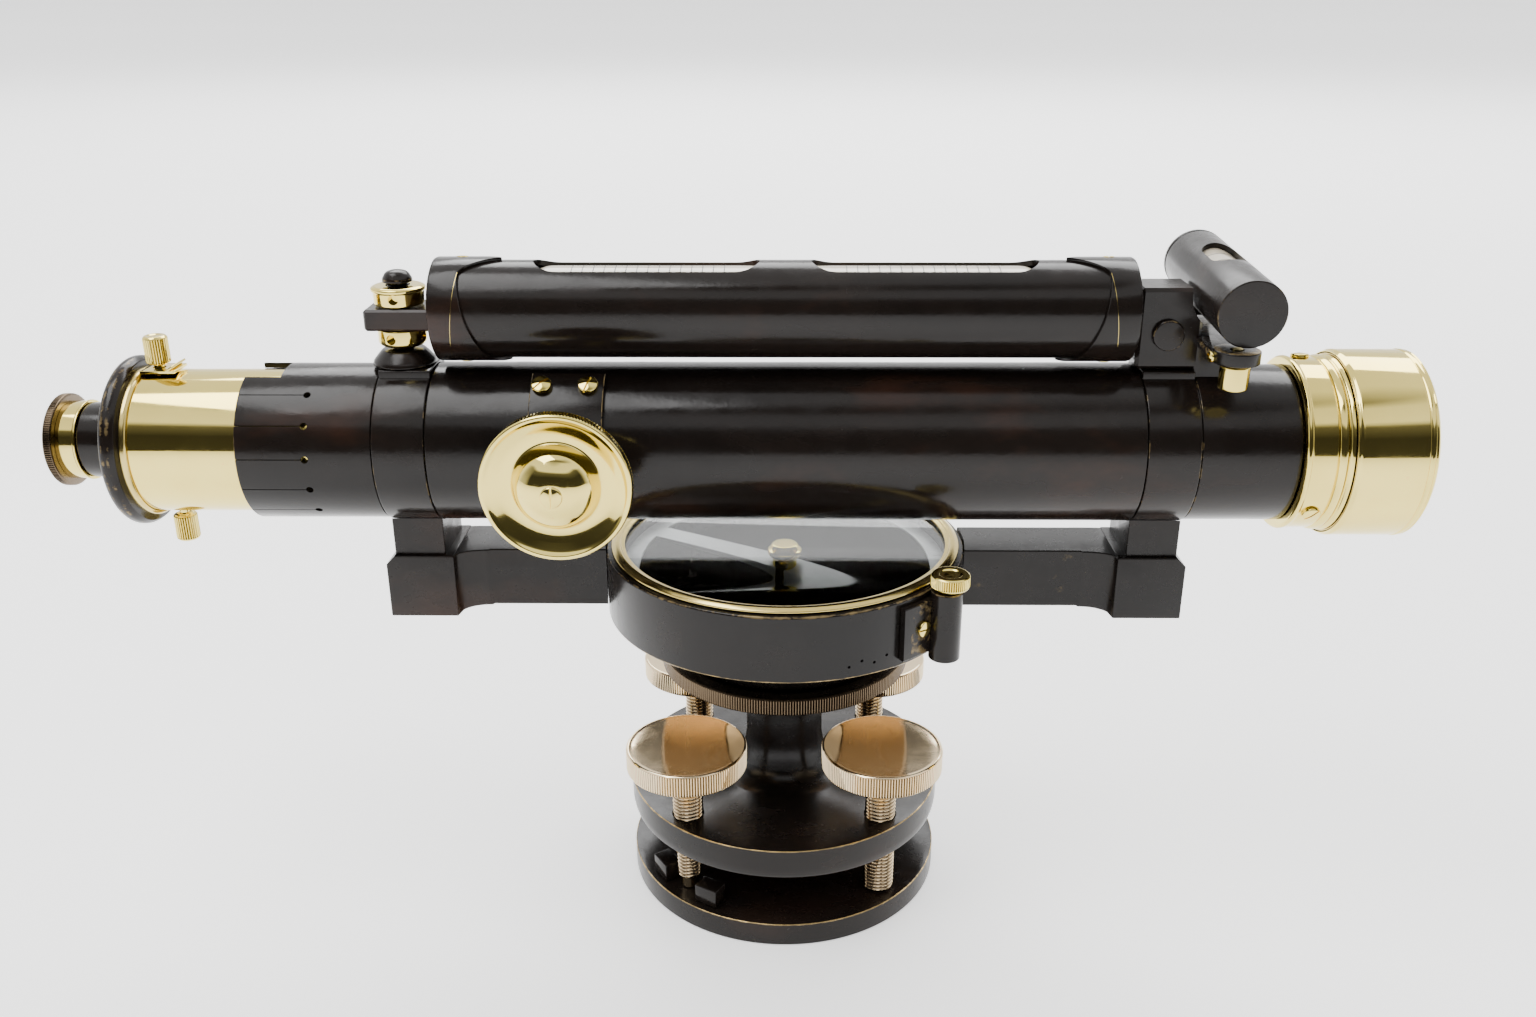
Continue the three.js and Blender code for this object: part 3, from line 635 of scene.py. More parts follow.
# ------------------------------------------------------------------ compass
def compass():
    lo, hi = ends("compass_box")
    r = hi.y
    wall = 47.5
    floor = hi.z - 15
    side_bottom = hi.z - 19.4
    box = turned([(0, lo.z), (32, lo.z, 0.6), (33, lo.z + 4, 3), (33.6, lo.z + 9, 3),
                  (36, side_bottom - 0.1, 1.2), (r - 0.4, side_bottom, 0.2), (r, side_bottom + 0.4, 0.3, 0.6),
                  (r, hi.z, 0.7, 0.35), (wall, hi.z, 0.3), (wall, floor, 1.5), (0, floor)],
                 segments=192)
    dents = []
    for k in range(4):
        x = 17 + 3.4 * k
        at = (x, -math.sqrt(r * r - x * x), side_bottom + 3.6 + 1.2 * (k % 2))
        dents.append(rod("y", 0.4, -1, 1, at))
    piece("compass_case", cut(box, *dents), SATIN, "telescope", "compass_box")

    lo, hi = ends("compass_bezel")
    inner, outer = 46.6, hi.y
    bezel = turned([(inner, lo.z), (outer, lo.z, 0.2), (outer, lo.z + 0.55, 0.4), (49.2, hi.z, 0.8),
                    (48.1, hi.z - 0.05, 0.4), (47.6, lo.z + 0.75, 0.2), (inner, lo.z + 0.6, 0.2)],
                   segments=256)
    piece("compass_bezel_ring", bezel, DULL, "telescope", "compass_bezel")

    lo, hi = ends("compass_glass")
    pane = turned([(0, lo.z), (hi.y, lo.z, 0.2), (hi.y, hi.z, 0.3), (0, hi.z)], segments=128)
    piece("compass_pane", pane, GLASS, "telescope", "compass_glass")

    top = high("compass_card").z
    under, face = top - 5.2, top - 4.4
    ring_bore, ring_r, bar_half = 41, 45.8, 3.25
    ring = turned([(ring_bore, under), (ring_r, under, 0.15), (ring_r, face, 0.2), (ring_bore, face, 0.2)],
                  segments=192)
    bar = box_mesh((-ring_bore - 0.6, -bar_half, under), (ring_bore + 0.6, bar_half, face), 0.12)
    card = cut(join(ring, bar), rod("z", 3.3, top - 9, top))
    divisions = []
    line_end, line_half, line_count = ring_r - 0.4, 0.07, 72
    for k in range(line_count):
        length = 2.6 if k % 6 == 0 else 1.4
        line = box_mesh((line_end - length, -line_half, face - 0.1), (line_end, line_half, face + 0.03))
        divisions.append(moved(line, Matrix.Rotation(TAU * k / line_count, 4, "Z")))
    heading = Matrix.Rotation(math.radians(-26), 4, "Z")
    moved(card, heading)
    piece("card_ring", card, SILVERED, "compass_card", "compass_card")
    piece("card_divisions", moved(merged(divisions), heading), DIVISION, "compass_card")
    cap = turned([(0, top - 4), (1.4, top - 4.3), (1.8, top - 6.4), (3.6, top - 6.4, 0.4),
                  (3.4, top - 3.2, 0.6), (5, top - 2.5, 0.5), (5, top - 1.5, 0.5), (3, top - 1.1, 0.4),
                  (3, top - 0.8, 0.2), (4.2, top - 0.45, 0.2), (3.5, top, 0.3), (0, top)], segments=48)
    piece("card_cap", cap, BRASS, "compass_card")


def lifter():
    x, y, _ = centre("lifter_knob")
    lo, hi = ends("lifter_knob")
    top = hi.z
    r = (hi.x - lo.x) / 2
    ripple, segments = milling(52, 0.3, (r - 0.1, top - 3.2, top - 0.5))
    knob = turned([(0, top - 21.4), (1.5, top - 21.4), (1.5, top - 4.6, 0.2), (3.6, top - 4.6, 0.2),
                   (3.6, top - 3.9, 0.2), (r - 0.3, top - 3.8, 0.2), (r, top - 3.4, 0.2), (r, top - 0.4, 0.2),
                   (r - 0.6, top, 0.3), (3.2, top, 0.3), (2.6, top - 0.5, 0.3), (1.5, top - 0.5, 0.3),
                   (0, top - 0.1)], "z", segments, (x, y, 0), ripple)
    piece("lifter_knob_head", knob, BRASS, "lifter_knob", "lifter_knob")

    bottom, tube_top = low("lifter_bracket").z, high("lifter_bracket").z
    r_box = high("compass_box").y
    tube = turned([(0, bottom), (4.3, bottom, 0.4, 0.3), (4.3, tube_top, 0.5, 0.4), (0, tube_top)],
                  "z", 64, (x - 0.7, y, 0))
    knob_angle = math.degrees(math.atan2(y, x))
    plate = wrapped(r_box - 1.5, 3.6, (bottom + 2.3, bottom + 17.7), (-54, knob_angle + 3.2), 0.4, wear_and_shade=0.15)
    moved(plate, Matrix(((0, -1, 0, 0), (0, 0, 1, 0), (1, 0, 0, 0), (0, 0, 0, 1))))
    body = join(tube, plate)
    core = rod("z", r_box + 0.25, bottom - 5, tube_top + 5, segments=192)
    bore = rod("z", 1.8, bottom + 3, tube_top + 5, (x, y, 0))
    piece("lifter_mount", cut(body, core, bore), SATIN, "telescope", "lifter_bracket")
    angle = math.radians(-46.6)
    out = Vector((math.cos(angle), math.sin(angle), 0))
    at = out * (r_box + 2.05) + Vector((0, 0, (bottom + tube_top) / 2 + 0.2))
    slotted_screw("lifter_mount_screw", at, out, 2.3, 1.3, 40, "telescope")


# ------------------------------------------------------------------ limb
def limb_arm(side):
    node = "limb_arm_right" if side > 0 else "limb_arm_left"
    lo, hi = ends(node)
    foot_outer = max(abs(lo.x), abs(hi.x))
    foot_inner = foot_outer - 19.6
    post_half, tube_seat = 7.2, 22.55
    post_x = (foot_outer + foot_inner) / 2
    cove = 9.5
    bar_y, foot_y = 9.0, 12.0
    bar_low, foot_low = lo.z + 2.6, lo.z
    bar_top, foot_top = lo.z + 20, lo.z + 19
    stations = [(40, bar_y, bar_low, bar_top), (foot_inner - cove - 0.5, bar_y, bar_low, bar_top),
                (foot_inner - cove, bar_y + 0.35, bar_low - 0.2, bar_top - 0.1)]
    curve = 8
    for k in range(1, curve + 1):
        t = k / curve
        lift = 1 - math.sqrt(1 - t * t)
        stations.append((foot_inner - cove * (1 - t), bar_y + 0.35 + (foot_y - bar_y - 0.75) * lift,
                         bar_low - 0.2 + (foot_low - bar_low + 0.4) * lift,
                         bar_top - 0.1 + (foot_top - bar_top) * lift))
    bar = loft([(side * x, y, z0, z1) for x, y, z0, z1 in stations])
    x0, x1 = sorted((side * foot_inner, side * foot_outer))
    foot = box_mesh((x0, -foot_y, foot_low), (x1, foot_y, foot_top), 0.4, 0.35)
    x = side * post_x
    post = box_mesh((x - post_half, -10.5, foot_top - 3), (x + post_half, 10.5, -17), 0.35, 0.25)
    shoulder, outside = post_x + post_half, foot_outer + 0.8
    slope = [(shoulder, foot_top), (outside, foot_top - 3.6), (outside, foot_top + 2),
             (shoulder, foot_top + 2)]
    foot = cut(foot, prism([(side * a, b) for a, b in slope], foot_y + 1))
    tube = rod("x", tube_seat, x - 14, x + 14, segments=128)
    box = rod("z", high("compass_box").y + 0.2, lo.z - 6, hi.z + 6, segments=192)
    arm = cut(join(bar, foot, post), tube, box)
    piece(f"{node}_casting", arm, WORN, "telescope", node)


def prism(outline, half_width):
    """A flat outline in x and z, given thickness along y."""
    verts = [(x, y, z) for y in (-half_width, half_width) for x, z in outline]
    return new_mesh(verts, skin(2, len(outline)))


def loft(stations):
    """A closed bar of rectangular sections along X: (x, half width, bottom, top)."""
    verts = []
    soft = 0.3
    for x, y, z0, z1 in stations:
        for sy, sz in ((-1, 0), (1, 0), (1, 1), (-1, 1)):
            first = (x, sy * (y - soft), z1 if sz else z0)
            second = (x, sy * y, z1 - soft if sz else z0 + soft)
            verts += [second, first] if (sy < 0) == (sz == 0) else [first, second]
    return new_mesh(verts, skin(len(stations), 8))


# ------------------------------------------------------------------ telescope tubes
TUBE_BORE = 20.9


def telescope_tubes():
    lo, hi = ends("main_tube")
    hole = rod("y", 2.6, -30, -10, (centre("focus_pinion").x, 0, 0))
    shell = cut(pipe(TUBE_BORE, hi.z, lo.x, hi.x, 0.35), hole)
    piece("main_tube_shell", shell, LACQUER, "telescope", "main_tube")

    for node in ("collar_left", "collar_right"):
        lo, hi = ends(node)
        band = pipe(TUBE_BORE, -lo.z, lo.x, hi.x, 0.35, (0.15, 0.15))
        pad = box_mesh((lo.x, -8.5, 17), (hi.x, 8.5, hi.z), 0.3, 0.3)
        core = rod("x", 21.5, lo.x - 1, hi.x + 1, segments=128)
        piece(f"{node}_band", join(band, cut(pad, core)), LACQUER, "telescope", node)

    lo, hi = ends("eye_sleeve")
    shell = pipe(20.6, -lo.z, lo.x, hi.x, 0.3, (0.3, 0))
    notch = (60, 120)
    slit_length, slit_half, drill_r = 18.6, 0.13, 1.0
    cutters = [box_mesh((lo.x - 1, -7.5, 12), (lo.x + 10, 7.5, 30))]
    for angle in range(4, 364, 24):
        if notch[0] < angle < notch[1]:
            continue
        slit = box_mesh((lo.x - 1, -26, -slit_half), (lo.x + slit_length, -18, slit_half))
        drill = rod("y", drill_r, -26, -18, (lo.x + slit_length + 0.3, 0, 0), 20)
        for tool in (slit, drill):
            cutters.append(moved(tool, Matrix.Rotation(math.radians(-angle), 4, "X")))
    piece("eye_sleeve_shell", cut(shell, *cutters), LACQUER, "telescope", "eye_sleeve")

    lo, hi = ends("objective_tube")
    shell = pipe(TUBE_BORE, hi.z, lo.x, hi.x, 0.3, (0.2, 0))
    piece("objective_tube_shell", shell, LACQUER, "telescope", "objective_tube")


def objective_end():
    lo, hi = ends("objective_ring")
    x0, x1 = lo.x, hi.x
    ring = turned([(21.2, x0), (23.9, x0, 0.5), (24.5, x0 + 0.5, 0.5), (24.5, x0 + 1.2, 0.4),
                   (24.15, x0 + 1.7, 0.3), (24.15, x0 + 8.2, 0.2), (23.7, x0 + 8.5, 0.15),
                   (24.3, x0 + 8.8, 0.2), (24.9, x0 + 10.2, 1.2), (24.2, x0 + 11.4, 0.6),
                   (24.6, x1 - 0.9, 0.4), (24.99, x1, 0.3), (21.2, x1)], "x", 192)
    piece("objective_ring_band", ring, BRASS, "telescope", "objective_ring")
    for k, degrees in enumerate((99, -35, 215)):
        out = outward(degrees)
        at = out * 24.1 + Vector((x0 + 4.9, 0, 0))
        slotted_screw(f"objective_ring_screw_{k + 1}", at, out, 2.5, 1.2, 25 + 30 * k, "telescope", edge=0.5)

    lo, hi = ends("objective_cell")
    front = hi.x
    shoulder = x1 + 0.3
    cell = turned([(18.2, lo.x), (20.6, lo.x, 0.3), (20.6, shoulder), (25.2, shoulder, 0.2),
                   (25.2, front, 0.5), (22.8, front, 0.4), (21.9, front - 3, 0.6), (21.2, front - 7, 0.4),
                   (19.8, front - 8, 0.3), (19.8, front - 16), (18.2, front - 16, 0.3)], "x", 128)
    piece("objective_cell_mount", cell, DULL, "telescope", "objective_cell")
    lo, hi = ends("objective_lens")
    lens = turned([(0, lo.x), (10, lo.x + 0.45, 9), (19.4, lo.x + 1.8, 0.2), (19.4, hi.x - 2.8, 0.2),
                   (10, hi.x - 0.75, 9), (0, hi.x)], "x", 96, steps=8)
    piece("object_glass", lens, GLASS, "telescope", "objective_lens")

    lo, hi = ends("ray_shade")
    r = hi.z
    shade = turned([(25.5, lo.x), (r - 0.7, lo.x, 0.2), (r - 0.55, lo.x + 0.5, 0.2),
                    (r - 0.1, lo.x + 1.1, 0.5), (r - 0.1, lo.x + 18.6, 0.2),
                    (r - 0.3, lo.x + 18.9, 0.1), (r, lo.x + 19.3, 0.3),
                    (r, lo.x + 20.1, 0.3), (r - 0.35, lo.x + 20.4, 0.1), (r - 0.15, lo.x + 20.8, 0.3),
                    (r - 0.2, hi.x - 0.7, 0.5), (r - 0.9, hi.x, 0.5), (24.9, hi.x, 0.4),
                    (24.9, hi.x - 2, 0.2), (25.5, hi.x - 2.4, 0.2)], "x", 192)
    piece("ray_shade_tube", shade, BRASS, "ray_shade", "ray_shade")


# ------------------------------------------------------------------ focusing
def focusing():
    x = centre("focus_knob").x
    r_tube = high("main_tube").z
    saddle_angle = 67
    plate = wrapped(r_tube - 1, 2.9, (x - 9.7, x + 10.3), (-saddle_angle, saddle_angle), 0.35, 48, 0.35)
    boss_y = low("pinion_saddle").y
    boss = turned([(0, boss_y), (7, boss_y, 0.5), (7.5, boss_y + 4, 1), (7.5, -21), (0, -21)],
                  "y", 64, (x, 0, 0))
    telescope = rod("x", r_tube + 0.1, x - 20, x + 20, segments=160)
    bore = rod("y", 2.4, -40, -10, (x, 0, 0))
    piece("saddle_plate", cut(join(plate, boss), telescope, bore), LACQUER, "telescope", "pinion_saddle")
    for side, turn in (("left", 42), ("right", 70)):
        node = f"saddle_screw_{side}"
        place = centre(node)
        out = Vector((0, place.y, place.z)).normalized()
        at = Vector((place.x, 0, 0)) + out * (r_tube + 1.85)
        slotted_screw(f"{node}_head", at, out, 2.7, 2.0, turn, "telescope", node)

    lo, hi = ends("focus_knob")
    r = hi.z
    back, front = hi.y, lo.y
    rim = back - 4.5
    ripple, segments = milling(150, 0.4, (r - 0.08, rim + 0.5, back - 0.5))
    knob = turned([(0, back), (8, back, 0.5), (r - 1.2, back, 0.4), (r, back - 0.6, 0.2),
                   (r, rim + 0.6, 0.2), (r - 0.35, rim + 0.1, 0.25), (r - 1.1, rim, 0.3),
                   (r - 2.0, rim + 0.7, 0.8), (14.6, back - 2.3, 2.6), (11.8, back - 1.9, 1.6),
                   (11.0, back - 3.4, 0.9), (9.9, back - 6.6, 2.6), (6.4, back - 9.3, 3.4), (3.1, front, 2.4),
                   (0, front)], "y", segments, (x, 0, 0), ripple, steps=6)
    piece("focus_knob_wheel", knob, BRASS, "focus_knob", "focus_knob")
    slotted_screw("focus_knob_centre_screw", (x, front + 0.9, 0), (0, -1, 0), 2.9, 1.9, 90, "focus_knob",
                  "focus_knob_screw", edge=0.5)

    lo, hi = ends("draw_tube")
    tube = pipe(19.3, hi.z, lo.x, hi.x, 0.2, segments=192)
    slot = box_mesh((x - 19, -25, -2.6), (x + 23, -10, 2.6))
    holes = rod("z", 1.8, -25, 25, (centre("reticle_ring").x, 0, 0))
    piece("draw_tube_shell", cut(tube, slot, holes), BRASS, "draw_tube", "draw_tube")


# ------------------------------------------------------------------ eye end
def eye_end():
    lo, hi = ends("eye_flange")
    r = hi.z
    bore = 11.0
    flange = turned([(bore, lo.x), (21.5, lo.x, 0.8), (23.2, lo.x + 0.3, 0.8), (r, lo.x + 1.6, 1.2, 0.25),
                     (r, hi.x - 2.6, 1.2, 0.25), (23.1, hi.x - 1.3, 0.6), (22.7, hi.x - 1.2, 0.2),
                     (21.2, hi.x - 1.0, 0.3), (20.9, hi.x, 0.3), (bore, hi.x)], "x", 192)
    piece("eye_flange_ring", flange, LACQUER, "draw_tube", "eye_flange")
    step = turned([(20.35, hi.x - 0.95), (21.4, hi.x - 0.95, 0.2), (21.3, hi.x + 0.3, 0.3),
                   (20.7, hi.x + 0.8, 0.3), (20.35, hi.x + 0.8, 0.1)], "x", 160)
    piece("eye_flange_brass_step", step, DULL, "draw_tube")

    rx = centre("reticle_ring").x
    for side, up in (("top", 1), ("bottom", -1)):
        node = f"reticle_screw_{side}"
        tip, end = sorted((abs(low(node).z), abs(high(node).z)))
        r = (high(node).x - low(node).x) / 2
        seat = end - 8.3
        ripple, segments = milling(30, 0.34, (r - 0.1, seat + 0.6, end - 0.8))
        screw = turned([(0, tip), (1.4, tip), (1.4, seat), (2.2, seat, 0.2), (2.4, seat + 0.5, 0.2),
                        (r - 0.2, seat + 0.5, 0.2), (r, seat + 0.8, 0.2), (r, end - 0.7, 0.2),
                        (r - 0.5, end - 0.1, 0.3), (r - 1.1, end - 0.1, 0.2), (1.1, end - 0.35, 0.3),
                        (0, end - 0.35)], "z", segments, (0, 0, 0), ripple)
        if up < 0:
            moved(screw, Matrix.Rotation(math.pi, 4, "X"))
        piece(f"{node}_head", shift(screw, (rx, 0, 0)), BRASS, node, node)
    lo, hi = ends("reticle_plate_top")
    plate = box_mesh(lo, (hi.x, hi.y, hi.z - 0.1), 0.15)
    corner = box_mesh((-0.3, lo.y, -0.2), (2.6, hi.y, 0.45), 0.12)
    moved(corner, Matrix.Rotation(math.radians(-35), 4, "Y"))
    shift(corner, (hi.x - 2.3, 0, lo.z + 0.4))
    hole = rod("z", 1.8, lo.z - 2, hi.z + 2, (rx, 0, 0))
    piece("reticle_guide_plate", cut(join(plate, corner), hole), BRASS, "draw_tube", "reticle_plate_top")

    lo, hi = ends("eyepiece_barrel")
    r = hi.z
    barrel = turned([(8.7, lo.x), (r, lo.x, 0.25, 0.4), (r, hi.x, 0.3), (8.7, hi.x)], "x", 128)
    piece("eyepiece_barrel_tube", barrel, LACQUER, "eyepiece", "eyepiece_barrel")
    lo, hi = ends("eyepiece_cap")
    r = hi.z
    left, right = lo.x, hi.x
    cap_right = left + 2.7
    ripple, segments = milling(130, 0.26, (r - 0.1, left + 0.7, cap_right - 0.4))
    cap = turned([(4, left + 1.3), (7.4, left + 0.5, 2), (r - 1.6, left, 0.8), (r - 0.5, left + 0.1, 0.4),
                  (r, left + 0.6, 0.2, 0.8), (r, cap_right - 0.3, 0.2, 0.8), (r - 0.5, cap_right, 0.3),
                  (9, cap_right, 0.1), (4, left + 1.9, 0.2)], "x", segments, (0, 0, 0), ripple)
    piece("eyepiece_cap_rim", cap, KNURLED, "eyepiece", "eyepiece_cap")
    neck = turned([(9, left + 2.4), (11.1, left + 2.75, 0.1), (11.1, right - 0.8, 0.15),
                   (11.4, right - 0.6, 0.2), (11.4, right - 0.05, 0.2), (9, right - 0.05)], "x", 128)
    piece("eyepiece_neck", neck, BRASS, "eyepiece")


# ------------------------------------------------------------------ main level
LEVEL_Z = centre("level_tube").z


def sleeve_end(side):
    """How far the level's end sleeve reaches from the vertical axis, past the level's tube."""
    return 1.5 + (high("level_tube").x if side > 0 else -low("level_tube").x)


SLEEVE_R = (high("level_end_right").z - low("level_end_right").z) / 2
SLEEVE_POINT = 55
POINT_REACH = 8.0


def scribed_line(side, face):
    """A fine bright line scribed from the sleeve's point down to its lower edge."""
    half_width, sunk, proud = 0.05, SLEEVE_R - 0.05, SLEEVE_R + 0.03
    steps = 40
    verts = []
    for k in range(steps + 1):
        a = math.radians(SLEEVE_POINT + (-70 - SLEEVE_POINT) * k / steps)
        x = sleeve_end(side) - POINT_REACH + 3.6 * k / steps
        for radius, across in ((sunk, -1), (proud, -1), (proud, 1), (sunk, 1)):
            verts.append((side * (x + across * half_width), face * radius * math.cos(a),
                          radius * math.sin(a) + LEVEL_Z))
    return new_mesh(verts, skin(steps + 1, 4))


def scalloped_sleeve(side):
    """An end sleeve whose edge runs in two lobes that meet in a point on each side."""
    r, end = SLEEVE_R, sleeve_end(side)
    inner = high("level_tube").z - LEVEL_Z + 0.03
    top_reach, bottom_reach = 18.5, 19.5
    columns = 180
    verts, faces = [], []
    section = 8
    for j in range(columns):
        angle = 360 * j / columns
        from_top = abs((angle - 90 + 180) % 360 - 180)
        spread = 90 - SLEEVE_POINT
        if from_top <= spread:
            part = (spread - from_top) / spread
            reach = POINT_REACH + (top_reach - POINT_REACH) * part ** 1.4
        else:
            part = (from_top - spread) / (180 - spread)
            reach = POINT_REACH + (bottom_reach - POINT_REACH) * part ** 1.8
        a = math.radians(angle)
        outline = [(inner, end - reach), (r - 0.15, end - reach), (r, end - reach + 0.15), (r, end - 0.9),
                   (r - 0.25, end - 0.3), (r - 0.9, end), (0.5, end), (inner, end - 1.2)]
        for radius, x in outline:
            verts.append((side * x, -radius * math.cos(a), radius * math.sin(a) + LEVEL_Z))
    # Nothing joins the last two points: one flat cap closes the end outside, another inside.
    for j in range(columns):
        k = (j + 1) % columns
        for i in (0, 1, 2, 3, 4, 5, 7):
            m = (i + 1) % section
            faces.append((j * section + i, j * section + m, k * section + m, k * section + i))
    faces.append(tuple(j * section + 6 for j in range(columns)))
    faces.append(tuple(j * section + 7 for j in range(columns)))
    return new_mesh(verts, faces)


def main_level():
    lo, hi = ends("level_tube")
    inner = 11.9
    tube = pipe(inner, hi.z - LEVEL_Z, lo.x, hi.x, 0.2, place=(0, 0, LEVEL_Z))
    near, far, half_width = 7.0, 68.4, 6.65
    middles = near + half_width, far - half_width
    below, above = LEVEL_Z + 6, LEVEL_Z + 20
    windows = []
    for side in (-1, 1):
        x0, x1 = sorted(side * x for x in middles)
        mid = box_mesh((x0, -half_width, below), (x1, half_width, above))
        windows.append(join(mid, *[rod("z", half_width, below, above, (side * x, 0, 0)) for x in middles]))
    piece("level_tube_shell", cut(tube, *windows), LACQUER, "main_level", "level_tube")

    half = high("level_vial").x
    vial_r = inner - 0.2
    glass_tube = turned([(0, -half), (6, -half + 0.4, 2), (vial_r, -half + 5, 4), (vial_r, half - 5, 4),
                         (6, half - 0.4, 2), (0, half)], "x", 96, (0, 0, LEVEL_Z), steps=6)
    piece("level_vial_glass", glass_tube, VIAL, "main_level", "level_vial")
    lines = []
    first, spacing, line_half, line_r = 16.5, 2.95, 0.12, vial_r - 0.06
    for side in (-1, 1):
        for k in range(15):
            x = side * (first + spacing * k)
            reach = 32 if k % 5 == 2 else 22
            angles = (90 - reach, 90 + reach * 0.6)
            line = wrapped(line_r, 0.12, (x - line_half, x + line_half), angles, 0.02, 12)
            lines.append(shift(line, (0, 0, LEVEL_Z)))
    piece("level_divisions", merged(lines), DIVISION, "main_level")

    lug_bottom, lug_top = high("level_nut_lower").z + 0.3, low("level_nut_upper").z - 0.4
    lug = box_mesh((low("level_end_left").x, -7, lug_bottom), (-94.6, 7, lug_top), 0.6, 0.2, 1)
    hole = rod("z", 3.6, 20, 60, (centre("level_stud").x, 0, 0))
    cap = cut(join(scalloped_sleeve(-1), lug), hole)
    piece("level_end_left_cap", cap, LACQUER, "main_level", "level_end_left")
    pin = centre("level_pivot_pin")
    root = high("level_tube").x + 0.7
    tongue = box_mesh((root, -3.4, pin.z - 3.8), (high("level_end_right").x, 3.4, pin.z + 4), 0.4)
    hole = rod("y", 2.3, -10, 10, (pin.x, 0, pin.z))
    cap = cut(join(scalloped_sleeve(1), tongue), hole)
    piece("level_end_right_cap", cap, LACQUER, "main_level", "level_end_right")
    scribed = merged([scribed_line(side, face) for side in (-1, 1) for face in (-1, 1)])
    piece("level_scribed_lines", scribed, DULL, "main_level")
    for k, (x, degrees) in enumerate(((-88, 97), (87.6, 97), (-88, -80), (87.6, -80))):
        out = outward(degrees)
        at = Vector((x, 0, LEVEL_Z)) + out * 14.0
        slotted_screw(f"level_cap_screw_{k + 1}", at, out, 1.5, 0.42, 30 + 50 * k, "main_level", edge=0.5)


def level_fittings():
    stud = centre("level_stud")
    foot, top = low("level_stud").z, high("level_stud").z
    core = 3.0
    profile = [(0, foot), (8.8, foot, 0.4, 0.3), (8.5, foot + 1.1, 0.6), (6.9, foot + 3, 3),
               (5.8, foot + 4.1, 0.5)]
    rings = 120
    start, end = foot + 4.2, top - 3.5
    profile += [(core, start + (end - start) * k / rings) for k in range(rings + 1)]
    profile += [(4.1, end + 0.1, 0.2), (4.1, end + 0.9, 0.4, 0.3), (core, top - 0.6, 1.6), (0, top)]
    body = turned(profile, "z", 64, (stud.x, 0, 0), helix(core - 0.01, core + 0.01, 0.7, 0.3))
    piece("level_stud_post", body, LACQUER, "telescope", "level_stud", smooth=50)

    bore = 3.35
    for which in ("upper", "lower"):
        node = f"level_nut_{which}"
        lo, hi = ends(node)
        r = (hi.x - lo.x) / 2
        if which == "upper":
            drop, first_hole = 0.3, 2
            outline = [(bore, lo.z), (r - 0.7, lo.z, 0.4), (r - 0.5, hi.z - 1.6, 0.2), (r, hi.z - 1.3, 0.25),
                       (r, hi.z - 0.5, 0.3), (r - 0.9, hi.z, 0.5), (bore, hi.z)]
        else:
            drop, first_hole = -0.2, -14
            outline = [(bore, lo.z), (r - 1.2, lo.z, 0.8), (r, lo.z + 0.9, 0.6), (r, hi.z, 0.3), (bore, hi.z)]
        nut = turned(outline, "z", 96, (stud.x, 0, 0))
        tools = []
        for k in range(4):
            drill = rod("y", 1.4, -r - 1, -4.5, (0, 0, (lo.z + hi.z) / 2 - drop), 32)
            angle = math.radians(90 * k + first_hole)
            tools.append(shift(moved(drill, Matrix.Rotation(angle, 4, "Z")), (stud.x, 0, 0)))
        piece(f"{node}_capstan", cut(nut, *tools), BRASS, "level_nuts", node)

    lo, hi = ends("level_pillar")
    pin = centre("level_pivot_pin")
    post = box_mesh(lo, hi, 1.0, 0.0, 1)
    fork = box_mesh((lo.x - 2, -3.7, pin.z - 6), (pin.x + 3, 3.7, pin.z + 6))
    hole = rod("y", 2.3, -10, 10, (pin.x, 0, pin.z))
    hollow = lay(rod("y", 10.3, -40, 40, segments=96))
    piece("level_pillar_fork", cut(post, fork, hole, hollow), LACQUER, "telescope", "level_pillar")
    head_y, tail_y = low("level_pivot_pin").y, high("level_pivot_pin").y
    bolt = turned([(0, head_y), (4.25, head_y, 0.5, 0.2), (4.25, head_y + 1.2, 0.1), (2, head_y + 1.2),
                   (2, tail_y - 1.7), (3.6, tail_y - 1.7, 0.2), (3.6, tail_y, 0.4), (0, tail_y)],
                  "y", 64, (pin.x, 0, pin.z))
    piece("level_pivot_bolt", bolt, LACQUER, "telescope", "level_pivot_pin")


# ------------------------------------------------------------------ cross level
VIAL_LENGTH = 38


def lay(mesh):
    """Move a mesh made along Y to the cross level's place, at the slope that its vial's box shows."""
    size = high("cross_level_vial") - low("cross_level_vial")
    slope = math.asin((size.z - size.x) / VIAL_LENGTH)
    return shift(moved(mesh, Matrix.Rotation(slope, 4, "X")), centre("cross_level_vial"))


